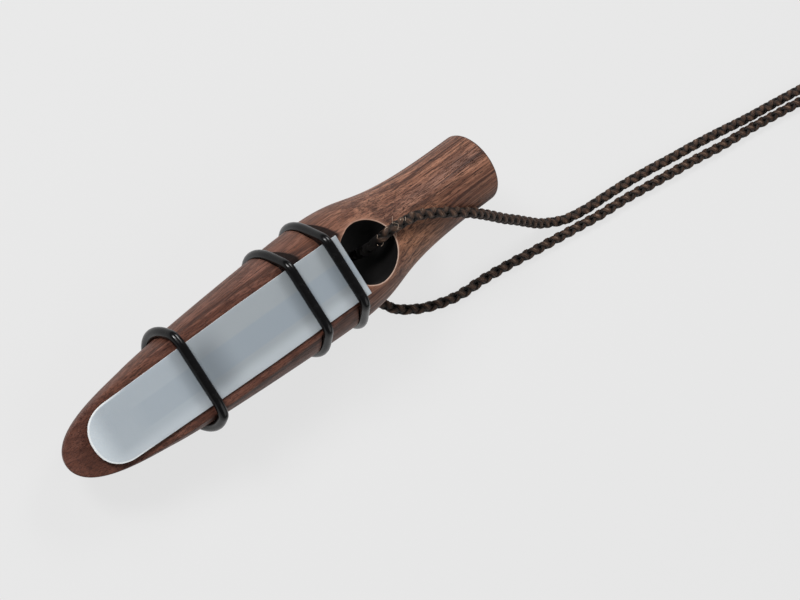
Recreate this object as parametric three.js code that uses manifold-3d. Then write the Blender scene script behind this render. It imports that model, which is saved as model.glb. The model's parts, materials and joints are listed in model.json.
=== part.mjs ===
// Roe deer call: a turned walnut body, a plastic reed held on its tone board by three
// rubber rings, and a braided lanyard through the cross hole.
// Millimetres. +X runs along the body from the mouth tip to the handle, +Z is up.
// The origin is under the middle of the body, on the surface that the call lies on.
import * as THREE from 'three';
import { mergeVertices } from 'three/addons/utils/BufferGeometryUtils.js';
import Module from 'manifold-3d';

const wasm = await Module();
wasm.setup();

// Turned body: places along the axis are measured from the mouth tip
const BODY_LENGTH = 108;
const NOSE_LENGTH = 20;
const NOSE_RADIUS = 8.57;
const NOSE_SLOPE = 0.152;
const NOSE_BLUNTNESS = 6.84;
const NOSE_REACH = 0.3;
const BELLY_X = 66.1;
const BELLY_RADIUS = 11.42;
const BELLY_REACH_FRONT = 0.165;
const BELLY_REACH_BACK = 0.4;
const WAIST_LENGTH = 37.2;
const WAIST_REACH = 0.72;
const HANDLE_RADIUS = 7.5;
const HANDLE_EDGE_RADIUS = 0.9;
const BODY_SIDES = 64;

// Tone board: a straight seat for the reed, then a facing curve that falls away to the tip
const BOARD_HEIGHT = 9.37;
const BOARD_SLOPE_DEG = 6.9;
const FACING_LENGTH = 27;
const FACING_DROP = 1.9;
const FACING_STEPS = 16;

// Air channel under the reed, cut with a ball-nosed cutter
const CHANNEL_WIDTH = 6;
const CHANNEL_DEPTH = 3.6;
const CHANNEL_START = 12;

// Cross hole, where the air leaves and the lanyard passes
const HOLE_X = 71.8;
const HOLE_RADIUS = 6.3;

// Reed
const REED_WIDTH = 13.1;
const REED_TIP_WIDTH = 11.9;
const REED_THICKNESS = 0.35;
const REED_TIP_INSET = 5;
const REED_TIP_DEPTH = 6.5;
const REED_TAPER_LENGTH = 32;
const REED_OVERHANG = 1.4;
const REED_TIP_FULLNESS = 0.62;
const SEAT_GAP = 0.2;

// Rubber rings
const RING_SECTION = 2;
const RING_GAP = 0.2;
const TUNING_RING_X = 29;
const REAR_RING_INSET = 2.4;
const RING_SPACING = 9.2;
const RING_STEP = 2.2;
const RING_CORNER_STEPS = 3;
const RING_SIDES = 10;

// Lanyard: a doubled cord whose far end is coiled and knotted
const CORD_DIAMETER = 2;
const CORD_GAP = 0.5;
const STRAND_SPACING = CORD_DIAMETER + CORD_GAP;
const FREE_SIDES = 8;
const FREE_STEPS = 56;
const COIL_SIDES = 6;
const COIL_STEPS_PER_TURN = 24;
const COIL_OUTER_RADIUS = 16.5;
const COIL_TURNS = 4.25;
const COIL_REVERSAL = 2;
const COIL_CLIMB_TURNS = 0.5;
const COIL_CENTRE = new THREE.Vector2(166.2, -53.3);
const COIL_ENTRY_DEG = 82;
const COIL_LEAD_IN = 5;
const COIL_LEAD_OUT = 11;
const COIL_LEAD_OUT_STEPS = 6;
const KNOT_WRAPS = 3;
const KNOT_TAIL = 4;
const KNOT_BITE = 0.15;
const KNOT_PITCH = 1.92;
const KNOT_WEB = 1.8;
const KNOT_STEPS_PER_WRAP = 16;
const END_GAP = 0.3;
const TIE_WIDTH = 3;
const TIE_THICKNESS = 0.3;
const TIE_GAP = 0.2;
const TIE_CORNER_RADIUS = 1;
const TIE_DEG = 150;

const cordRadius = CORD_DIAMETER / 2;
const ringRadius = RING_SECTION / 2;
const boardSlope = Math.tan(THREE.MathUtils.degToRad(BOARD_SLOPE_DEG));

// The curves of a path, without the empty joins that rounding leaves beside its arcs
function realCurves(path) {
  return path.curves.filter((curve) => curve.getLength() > 1e-6);
}

// Profile of the turning, from the tip on the axis to the handle's end on the axis
function turnedProfile() {
  const shoulder = new THREE.Vector2(NOSE_LENGTH, NOSE_RADIUS);
  const waistX = BELLY_X + WAIST_LENGTH;
  const noseReach = NOSE_LENGTH * NOSE_REACH;
  const bellyFront = (BELLY_X - NOSE_LENGTH) * BELLY_REACH_FRONT;
  const bellyBack = WAIST_LENGTH * BELLY_REACH_BACK;
  const waistReach = WAIST_LENGTH * WAIST_REACH;
  const path = new THREE.Path();
  path.moveTo(0, 0);
  path.bezierCurveTo(0, NOSE_BLUNTNESS,
    shoulder.x - noseReach, shoulder.y - noseReach * NOSE_SLOPE, shoulder.x, shoulder.y);
  path.bezierCurveTo(shoulder.x + bellyFront, shoulder.y + bellyFront * NOSE_SLOPE,
    BELLY_X - bellyFront, BELLY_RADIUS, BELLY_X, BELLY_RADIUS);
  path.bezierCurveTo(BELLY_X + bellyBack, BELLY_RADIUS,
    waistX - waistReach, HANDLE_RADIUS, waistX, HANDLE_RADIUS);
  path.lineTo(BODY_LENGTH - HANDLE_EDGE_RADIUS, HANDLE_RADIUS);
  path.absarc(BODY_LENGTH - HANDLE_EDGE_RADIUS, HANDLE_RADIUS - HANDLE_EDGE_RADIUS,
    HANDLE_EDGE_RADIUS, Math.PI / 2, 0, true);
  path.lineTo(BODY_LENGTH, 0);
  const points = [];
  const stepsPerCurve = [12, 10, 14, 1, 4, 1];
  realCurves(path).forEach((curve, i) => {
    const from = i === 0 ? 0 : 1;
    points.push(...curve.getPoints(stepsPerCurve[i]).slice(from));
  });
  return points;
}

const profile = turnedProfile();

// Radius of the turned body at a distance from the tip
function bodyRadius(x) {
  const next = profile.findIndex((point) => point.x >= x);
  if (next < 1) return 0;
  const a = profile[next - 1];
  const b = profile[next];
  return THREE.MathUtils.mapLinear(x, a.x, b.x, a.y, b.y);
}

// Height of the straight reed seat above the axis, carried on towards the tip
function seatHeight(x) {
  return BOARD_HEIGHT + boardSlope * (x - BELLY_X);
}

function reedTopHeight(x) {
  return seatHeight(x) + SEAT_GAP + REED_THICKNESS;
}

const holeFront = HOLE_X - HOLE_RADIUS;
const reedBackX = holeFront + REED_OVERHANG;
const rearRingX = reedBackX - REAR_RING_INSET;
const middleRingX = rearRingX - RING_SPACING;

// Half the width of the reed at a distance from the body's tip
function reedHalfWidth(x) {
  const fromTip = (x - REED_TIP_INSET - REED_TIP_DEPTH) / REED_TAPER_LENGTH;
  const share = THREE.MathUtils.clamp(fromTip, 0, 1);
  return THREE.MathUtils.lerp(REED_TIP_WIDTH, REED_WIDTH, share) / 2;
}

// Widest radius of the body under a ring
function radiusUnderRing(x) {
  return Math.max(bodyRadius(x - ringRadius), bodyRadius(x + ringRadius));
}

// Centre line of a ring stretched over the body, across the reed and round its edges
function ringPath(x) {
  const body = radiusUnderRing(x);
  const wrap = RING_GAP + ringRadius;
  const edge = new THREE.Vector2(reedHalfWidth(x), reedTopHeight(x + ringRadius));
  const seat = seatHeight(x + ringRadius);
  const shoulder = new THREE.Vector2(Math.sqrt(body ** 2 - seat ** 2), seat);
  const tangent = edge.angle() - Math.acos(Math.min(body / edge.length(), 1));
  const bendsOverFlat = tangent >= shoulder.angle();
  const toShoulder = Math.atan2(shoulder.x - edge.x, edge.y - shoulder.y);
  const leave = bendsOverFlat ? shoulder.angle() : tangent;
  const lift = bendsOverFlat ? toShoulder : tangent;
  const top = Math.PI / 2;
  const path = new THREE.Path();
  path.moveTo(-edge.x, edge.y + wrap);
  path.lineTo(edge.x, edge.y + wrap);
  path.absarc(edge.x, edge.y, wrap, top, lift, true);
  if (bendsOverFlat) path.absarc(shoulder.x, shoulder.y, wrap, lift, leave, true);
  path.absarc(0, 0, body + wrap, leave, -Math.PI - leave, true);
  if (bendsOverFlat) {
    path.absarc(-shoulder.x, shoulder.y, wrap, Math.PI - leave, Math.PI - lift, true);
  }
  path.absarc(-edge.x, edge.y, wrap, Math.PI - lift, top, true);
  return path;
}

// The call lies on its tuning ring and its rear ring, so it leans down towards its tip
const rearDrop = radiusUnderRing(rearRingX) - radiusUnderRing(TUNING_RING_X);
const lean = Math.atan(rearDrop / (rearRingX - TUNING_RING_X));
const frontDrop = radiusUnderRing(TUNING_RING_X) + RING_GAP + ringRadius;
const lift = ringRadius + frontDrop * Math.cos(lean) - TUNING_RING_X * Math.sin(lean);

// Manifold solid from a closed geometry
function solid(geometry) {
  const bare = geometry.index ? geometry.toNonIndexed() : geometry.clone();
  bare.deleteAttribute('normal');
  bare.deleteAttribute('uv');
  const merged = mergeVertices(bare, 1e-4);
  return new wasm.Manifold(new wasm.Mesh({
    numProp: 3,
    vertProperties: new Float32Array(merged.attributes.position.array),
    triVerts: new Uint32Array(merged.index.array),
  }));
}

function geometryOf(manifold) {
  const { vertProperties, triVerts } = manifold.getMesh();
  const geometry = new THREE.BufferGeometry();
  geometry.setAttribute('position', new THREE.Float32BufferAttribute(vertProperties, 3));
  geometry.setIndex([...triVerts]);
  geometry.computeVertexNormals();
  return geometry;
}

// Tube swept along points with given sideways directions, closed on itself or capped
function sweep(points, frames, radius, sides, closed) {
  const positions = [];
  const index = [];
  points.forEach((point, i) => {
    const { across, up } = frames[i];
    for (let j = 0; j < sides; j += 1) {
      const angle = (2 * Math.PI * (j + 0.5)) / sides;
      const vertex = point.clone()
        .addScaledVector(across, radius * Math.cos(angle))
        .addScaledVector(up, radius * Math.sin(angle));
      positions.push(...vertex.toArray());
    }
  });
  const rings = closed ? points.length : points.length - 1;
  for (let i = 0; i < rings; i += 1) {
    const a = i * sides;
    const b = ((i + 1) % points.length) * sides;
    for (let j = 0; j < sides; j += 1) {
      const k = (j + 1) % sides;
      index.push(a + j, a + k, b + k, a + j, b + k, b + j);
    }
  }
  if (!closed) {
    const last = (points.length - 1) * sides;
    for (let j = 1; j < sides - 1; j += 1) {
      index.push(0, j + 1, j);
      index.push(last, last + j, last + j + 1);
    }
  }
  const geometry = new THREE.BufferGeometry();
  geometry.setAttribute('position', new THREE.Float32BufferAttribute(positions, 3));
  geometry.setIndex(index);
  geometry.computeVertexNormals();
  return geometry;
}

// Sideways and upward directions along a line of points, turned outward for the sweep
function framesAlong(points) {
  return points.map((point, i) => {
    const before = points[Math.max(i - 1, 0)];
    const after = points[Math.min(i + 1, points.length - 1)];
    const along = after.clone().sub(before).normalize();
    const across = new THREE.Vector3(0, 0, 1).cross(along).normalize();
    const up = along.clone().cross(across);
    return { across, up };
  });
}

const group = new THREE.Group();

function place(name, geometry, look) {
  const mesh = new THREE.Mesh(geometry, new THREE.MeshStandardMaterial(look));
  mesh.name = name;
  group.add(mesh);
  return mesh;
}

const walnut = { color: 0x6b4436, roughness: 0.55, metalness: 0 };
const reedPlastic = { color: 0xc3ccd3, roughness: 0.35, metalness: 0 };
const blackRubber = { color: 0x161616, roughness: 0.4, metalness: 0 };
const brownCord = { color: 0x33261f, roughness: 0.8, metalness: 0 };
const tieBlack = { color: 0x202020, roughness: 0.7, metalness: 0 };

// Lathe about the body's axis, turned from the lathe's own upright axis to +X
function turnedBody() {
  const outline = profile.map((point) => new THREE.Vector2(point.y, point.x));
  const geometry = new THREE.LatheGeometry(outline, BODY_SIDES);
  geometry.rotateZ(-Math.PI / 2);
  return solid(geometry);
}

// Everything above the tone board, as a side view drawn out across the body
function aboveBoard() {
  const beyond = 5;
  const top = 2 * BELLY_RADIUS;
  const side = new THREE.Shape();
  side.moveTo(BODY_LENGTH, seatHeight(BODY_LENGTH));
  side.lineTo(FACING_LENGTH, seatHeight(FACING_LENGTH));
  for (let i = 1; i <= FACING_STEPS; i += 1) {
    const x = THREE.MathUtils.lerp(FACING_LENGTH, -beyond, i / FACING_STEPS);
    const share = (FACING_LENGTH - x) / FACING_LENGTH;
    side.lineTo(x, seatHeight(x) - FACING_DROP * share ** 2);
  }
  side.lineTo(-beyond, top);
  side.lineTo(BODY_LENGTH, top);
  const depth = 4 * BELLY_RADIUS;
  const geometry = new THREE.ExtrudeGeometry(side, { depth, bevelEnabled: false });
  geometry.rotateX(Math.PI / 2);
  geometry.translate(0, depth / 2, 0);
  return solid(geometry);
}

// Ball-nosed groove along the seat, from behind the tip into the cross hole
function airChannel() {
  const radius = CHANNEL_WIDTH / 2;
  const slope = THREE.MathUtils.degToRad(BOARD_SLOPE_DEG);
  const length = (HOLE_X - CHANNEL_START - radius) / Math.cos(slope);
  const ball = new THREE.CapsuleGeometry(radius, length, 6, 20, 1);
  ball.rotateZ(-Math.PI / 2);
  ball.translate(length / 2, 0, 0);
  const plan = new THREE.Shape();
  plan.moveTo(0, radius);
  plan.absarc(0, 0, radius, Math.PI / 2, 1.5 * Math.PI, false);
  plan.lineTo(length, -radius);
  plan.lineTo(length, radius);
  plan.closePath();
  const slot = new THREE.ExtrudeGeometry(plan, {
    depth: CHANNEL_DEPTH, bevelEnabled: false, curveSegments: 10,
  });
  const startX = CHANNEL_START + radius;
  const startZ = seatHeight(startX) - CHANNEL_DEPTH + radius;
  const cutters = [ball, slot].map((geometry) => {
    geometry.rotateY(-slope);
    geometry.translate(startX, 0, startZ);
    return solid(geometry);
  });
  return cutters[0].add(cutters[1]);
}

function crossHole() {
  const geometry = new THREE.CylinderGeometry(HOLE_RADIUS, HOLE_RADIUS, 4 * BELLY_RADIUS, 40);
  geometry.rotateX(Math.PI / 2);
  geometry.translate(HOLE_X, 0, 0);
  return solid(geometry);
}

function walnutBody() {
  const cut = turnedBody().subtract(aboveBoard()).subtract(airChannel()).subtract(crossHole());
  return geometryOf(cut).rotateY(-lean);
}

const body = walnutBody();
body.computeBoundingBox();
const middle = (body.boundingBox.min.x + body.boundingBox.max.x) / 2;
body.translate(-middle, 0, lift);

// From the body's own axis to the place where the call lies
function lie(geometry) {
  return geometry.rotateY(-lean).translate(-middle, 0, lift);
}

// Reed outline, flat, from its square back end to its rounded tip
function reed() {
  const slope = THREE.MathUtils.degToRad(BOARD_SLOPE_DEG);
  const length = (reedBackX - REED_TIP_INSET) / Math.cos(slope);
  const half = REED_WIDTH / 2;
  const tipHalf = REED_TIP_WIDTH / 2;
  const tipX = REED_TIP_DEPTH;
  const pull = REED_TIP_FULLNESS;
  const outline = new THREE.Shape();
  outline.moveTo(length, -half);
  outline.lineTo(length, half);
  outline.lineTo(tipX + REED_TAPER_LENGTH, half);
  outline.lineTo(tipX, tipHalf);
  outline.bezierCurveTo(tipX * (1 - pull), tipHalf, 0, tipHalf * pull, 0, 0);
  outline.bezierCurveTo(0, -tipHalf * pull, tipX * (1 - pull), -tipHalf, tipX, -tipHalf);
  outline.lineTo(tipX + REED_TAPER_LENGTH, -half);
  outline.closePath();
  const geometry = new THREE.ExtrudeGeometry(outline, {
    depth: REED_THICKNESS, bevelEnabled: false, curveSegments: 14,
  });
  geometry.rotateY(-slope);
  geometry.translate(REED_TIP_INSET, 0, seatHeight(REED_TIP_INSET) + SEAT_GAP);
  return lie(geometry);
}

function rubberRing(x) {
  const points = [];
  for (const curve of realCurves(ringPath(x))) {
    const steps = Math.max(RING_CORNER_STEPS, Math.ceil(curve.getLength() / RING_STEP));
    points.push(...curve.getPoints(steps).slice(0, -1));
  }
  const line = points.map((point) => new THREE.Vector3(x, point.x, point.y));
  const n = line.length;
  const frames = line.map((point, i) => {
    const along = line[(i + 1) % n].clone().sub(line[(i + n - 1) % n]).normalize();
    const across = new THREE.Vector3(1, 0, 0);
    return { across, up: along.clone().cross(across) };
  });
  return lie(sweep(line, frames, ringRadius, RING_SIDES, true));
}

// Free strands, laid by hand: over the handle from the hole, and out under the body
const overStrand = [
  [20.4, -0.4, 14.2], [20.4, -0.3, 15.7], [20.3, -0.1, 18.4], [20.3, 0.4, 21.2],
  [21.3, 1.1, 24.2], [23.6, 1.35, 25.8], [26.7, 0.9, 25.3], [29.7, 0.3, 24.8],
  [33.2, -1.0, 24.35], [37.9, -3.4, 23.6], [43.1, -6.2, 21.9], [46.6, -8.0, 19.6],
  [51.1, -10.4, 16.3], [55.7, -13.0, 13.0], [60.4, -15.4, 9.8], [65.1, -17.9, 6.4],
  [69.8, -20.3, 3.2], [73.9, -22.0, 1.3], [77.2, -23.3, 1.0], [80.6, -24.0, 1.0],
  [84.2, -24.5, 1.0], [88.1, -24.8, 1.0], [95.7, -25.4, 1.0], [103.3, -26.3, 1.0],
  [110.8, -27.4, 1.0], [118.5, -28.4, 1.0], [126.2, -29.6, 1.0], [134.5, -31.0, 1.0],
  [142.5, -32.1, 1.0], [151.0, -33.3, 1.0],
];
const underStrand = [
  [20.4, -0.4, 13.9], [20.3, -0.5, 12.3], [20.2, -0.7, 8.8], [20.3, -1.3, 5.4],
  [21.1, -3.2, 2.5], [22.8, -6.1, 1.2], [24.9, -9.5, 1.0], [27.2, -13.0, 1.0],
  [29.7, -16.2, 1.0], [32.1, -17.8, 1.0], [34.7, -19.2, 1.0], [37.5, -20.3, 1.0],
  [40.5, -21.2, 1.0], [43.7, -21.9, 1.0], [47.0, -22.3, 1.0], [50.7, -22.5, 1.0],
  [57.7, -23.3, 1.0], [64.6, -24.3, 1.0], [71.7, -25.3, 1.0], [78.8, -26.3, 1.0],
  [86.0, -27.3, 1.0], [93.6, -28.0, 1.0], [101.1, -29.0, 1.0], [108.7, -30.0, 1.0],
  [116.3, -31.0, 1.0], [124.0, -32.2, 1.0], [134.3, -33.35, 1.0], [142.3, -34.5, 1.0],
  [150.6, -35.7, 1.0],
];

// The coil lies on the tie that holds it
const coilFloor = TIE_THICKNESS + TIE_GAP;
const turnPitch = 2 * STRAND_SPACING;
const strandOffset = STRAND_SPACING / 2;
const entryAngle = THREE.MathUtils.degToRad(COIL_ENTRY_DEG);

// Radius of the doubled cord's centre: the spiral winds in, reverses and winds out
function pairRadius(turns) {
  return COIL_OUTER_RADIUS - turnPitch * (COIL_REVERSAL - Math.abs(turns - COIL_REVERSAL));
}

// Centre of the doubled cord after a number of turns of the coil, and the way it is heading
function pairOnCoil(turns) {
  const halfClimb = COIL_CLIMB_TURNS / 2;
  const climb = THREE.MathUtils.smoothstep(turns,
    COIL_REVERSAL - halfClimb, COIL_REVERSAL + halfClimb);
  const angle = entryAngle - 2 * Math.PI * turns;
  const outward = new THREE.Vector3(Math.cos(angle), Math.sin(angle), 0);
  const heading = new THREE.Vector3(Math.sin(angle), -Math.cos(angle), 0);
  const centre = new THREE.Vector3(COIL_CENTRE.x, COIL_CENTRE.y, coilFloor + cordRadius)
    .addScaledVector(outward, pairRadius(turns));
  centre.z += STRAND_SPACING * climb;
  return { centre, outward, heading };
}

// One strand of the coil: side is +1 for the outer strand and -1 for the inner one
function coiledStrand(side) {
  const offset = side * strandOffset;
  const steps = Math.round(COIL_TURNS * COIL_STEPS_PER_TURN);
  const points = [];
  const start = pairOnCoil(0);
  for (const back of [COIL_LEAD_IN, COIL_LEAD_IN / 2]) {
    points.push(start.centre.clone()
      .addScaledVector(start.outward, offset)
      .addScaledVector(start.heading, -back));
  }
  for (let i = 0; i <= steps; i += 1) {
    const { centre, outward } = pairOnCoil((i * COIL_TURNS) / steps);
    points.push(centre.addScaledVector(outward, offset));
  }
  const end = pairOnCoil(COIL_TURNS);
  const drop = end.centre.z - knotHeight;
  for (let i = 1; i <= COIL_LEAD_OUT_STEPS; i += 1) {
    const share = i / COIL_LEAD_OUT_STEPS;
    const point = end.centre.clone()
      .addScaledVector(end.outward, offset)
      .addScaledVector(end.heading, COIL_LEAD_OUT * share);
    point.z -= drop * THREE.MathUtils.smoothstep(share, 0, 0.8);
    points.push(point);
  }
  return points;
}

// Three wraps around the doubled end, lying flat
const wrapHalfWidth = strandOffset + CORD_DIAMETER - KNOT_BITE;
const wrapHalfHeight = CORD_DIAMETER - KNOT_BITE;
const knotHeight = wrapHalfHeight + cordRadius;
const knotLength = (KNOT_WRAPS + 1) * CORD_DIAMETER;

function lanyardKnot() {
  const wraps = [];
  const steps = KNOT_WRAPS * KNOT_STEPS_PER_WRAP;
  for (let i = 0; i <= steps; i += 1) {
    const turn = i / KNOT_STEPS_PER_WRAP;
    const angle = 2 * Math.PI * turn;
    wraps.push(new THREE.Vector3(cordRadius + KNOT_PITCH * turn,
      wrapHalfWidth * Math.cos(angle), wrapHalfHeight * Math.sin(angle)));
  }
  const axis = new THREE.Vector3(1, 0, 0);
  const frames = wraps.map((point) => {
    const up = new THREE.Vector3(0, point.y / wrapHalfWidth ** 2, point.z / wrapHalfHeight ** 2)
      .normalize();
    return { across: axis, up };
  });
  let knot = solid(sweep(wraps, frames, cordRadius, FREE_SIDES, false));
  for (const side of [-1, 1]) {
    const tail = knotLength + KNOT_TAIL - cordRadius;
    const outline = [[0, 0], [cordRadius, 0], [cordRadius, tail],
      [cordRadius * 0.7, tail + cordRadius * 0.7], [0, tail + cordRadius]];
    const cord = new THREE.LatheGeometry(outline.map(([r, y]) => new THREE.Vector2(r, y)), 12);
    cord.rotateZ(-Math.PI / 2);
    cord.translate(0, side * strandOffset, 0);
    knot = knot.add(solid(cord));
  }
  const web = new THREE.BoxGeometry(knotLength - CORD_DIAMETER, STRAND_SPACING, KNOT_WEB);
  web.translate(knotLength / 2, 0, 0);
  knot = knot.add(solid(web));
  const end = pairOnCoil(COIL_TURNS);
  const geometry = geometryOf(knot);
  geometry.rotateZ(Math.atan2(end.heading.y, end.heading.x));
  const at = end.centre.clone().addScaledVector(end.heading, COIL_LEAD_OUT + END_GAP);
  geometry.translate(at.x, at.y, knotHeight);
  return geometry;
}

// A band around the coil's section, drawn in the upright plane through the coil's centre
function coilTie() {
  const first = (((COIL_ENTRY_DEG - TIE_DEG) / 360) % 1 + 1) % 1;
  const passes = [];
  for (let turns = first; turns < COIL_TURNS; turns += 1) passes.push(pairRadius(turns));
  const halfPair = strandOffset + cordRadius + 2 * TIE_GAP;
  const inner = Math.min(...passes) - halfPair;
  const outer = Math.max(...passes) + halfPair;
  const top = coilFloor + CORD_DIAMETER + STRAND_SPACING + TIE_GAP;
  function rounded(shape, x0, z0, x1, z1, r) {
    shape.moveTo(x0 + r, z0);
    shape.lineTo(x1 - r, z0);
    shape.absarc(x1 - r, z0 + r, r, -Math.PI / 2, 0, false);
    shape.lineTo(x1, z1 - r);
    shape.absarc(x1 - r, z1 - r, r, 0, Math.PI / 2, false);
    shape.lineTo(x0 + r, z1);
    shape.absarc(x0 + r, z1 - r, r, Math.PI / 2, Math.PI, false);
    shape.lineTo(x0, z0 + r);
    shape.absarc(x0 + r, z0 + r, r, Math.PI, 1.5 * Math.PI, false);
    return shape;
  }
  const t = TIE_THICKNESS;
  const band = rounded(new THREE.Shape(), inner - t, 0, outer + t, top + t, TIE_CORNER_RADIUS);
  band.holes.push(rounded(new THREE.Path(), inner, t, outer, top,
    TIE_CORNER_RADIUS - t));
  const geometry = new THREE.ExtrudeGeometry(band, {
    depth: TIE_WIDTH, bevelEnabled: false, curveSegments: 4,
  });
  geometry.translate(0, 0, -TIE_WIDTH / 2);
  geometry.rotateX(Math.PI / 2);
  geometry.rotateZ(THREE.MathUtils.degToRad(TIE_DEG));
  geometry.translate(COIL_CENTRE.x, COIL_CENTRE.y, 0);
  return geometry;
}

function freeStrand(route, side) {
  const start = pairOnCoil(0);
  const meet = start.centre.clone().addScaledVector(start.outward, side * strandOffset);
  const points = route.map(([x, y, z]) => new THREE.Vector3(x, y, z));
  for (const back of [COIL_LEAD_IN + END_GAP + 2 * CORD_DIAMETER, COIL_LEAD_IN + END_GAP]) {
    points.push(meet.clone().addScaledVector(start.heading, -back));
  }
  const curve = new THREE.CatmullRomCurve3(points);
  const section = new THREE.Shape();
  for (let j = 0; j < FREE_SIDES; j += 1) {
    const angle = (2 * Math.PI * (j + 0.5)) / FREE_SIDES;
    const x = cordRadius * Math.cos(angle);
    const y = cordRadius * Math.sin(angle);
    if (j === 0) section.moveTo(x, y);
    else section.lineTo(x, y);
  }
  section.closePath();
  const geometry = new THREE.ExtrudeGeometry(section, {
    steps: FREE_STEPS, extrudePath: curve, bevelEnabled: false,
  });
  return { geometry, length: curve.getLength() };
}

// Least distance between the surfaces of a tube's far-apart stretches, or of two tubes
function leastGap(a, b, skip) {
  let least = Infinity;
  a.forEach((p, i) => {
    b.forEach((q, j) => {
      if (a === b && Math.abs(i - j) < skip) return;
      least = Math.min(least, p.distanceTo(q));
    });
  });
  return least - CORD_DIAMETER;
}

function lengthOf(points) {
  return points.slice(1).reduce((sum, point, i) => sum + point.distanceTo(points[i]), 0);
}

place('walnut_body', body, walnut);
place('reed', reed(), reedPlastic);
place('tuning_ring', rubberRing(TUNING_RING_X), blackRubber);
place('middle_ring', rubberRing(middleRingX), blackRubber);
place('rear_ring', rubberRing(rearRingX), blackRubber);

const outerCoil = coiledStrand(1);
const innerCoil = coiledStrand(-1);
const over = freeStrand(overStrand, 1);
const under = freeStrand(underStrand, -1);
place('lanyard_over_strand', over.geometry, brownCord);
place('lanyard_under_strand', under.geometry, brownCord);
place('lanyard_outer_coil',
  sweep(outerCoil, framesAlong(outerCoil), cordRadius, COIL_SIDES, false), brownCord);
place('lanyard_inner_coil',
  sweep(innerCoil, framesAlong(innerCoil), cordRadius, COIL_SIDES, false), brownCord);
place('lanyard_knot', lanyardKnot(), brownCord);
place('coil_tie', coilTie(), tieBlack);

const skip = COIL_STEPS_PER_TURN / 2;
console.log('lean, degrees', THREE.MathUtils.radToDeg(lean).toFixed(3), 'middle', middle.toFixed(3),
  'lift', lift.toFixed(3));
console.log('least gap of the coil to itself, mm',
  Math.min(leastGap(outerCoil, outerCoil, skip), leastGap(innerCoil, innerCoil, skip)).toFixed(2));
console.log('least gap between the two strands of the coil, mm',
  leastGap(outerCoil, innerCoil, 0).toFixed(2));
console.log('cord lengths, mm: over', over.length.toFixed(1), 'under', under.length.toFixed(1),
  'outer coil', lengthOf(outerCoil).toFixed(1), 'inner coil', lengthOf(innerCoil).toFixed(1));

export default group;
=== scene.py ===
"""A roe deer call on a pale surface: walnut body, plastic reed, rubber rings and a braided lanyard.

Metres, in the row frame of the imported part. Distances named along the body are from its mouth tip.
"""

import json
from math import acos, asin, atan2, ceil, cos, pi, radians, sin, sqrt, tan

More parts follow.
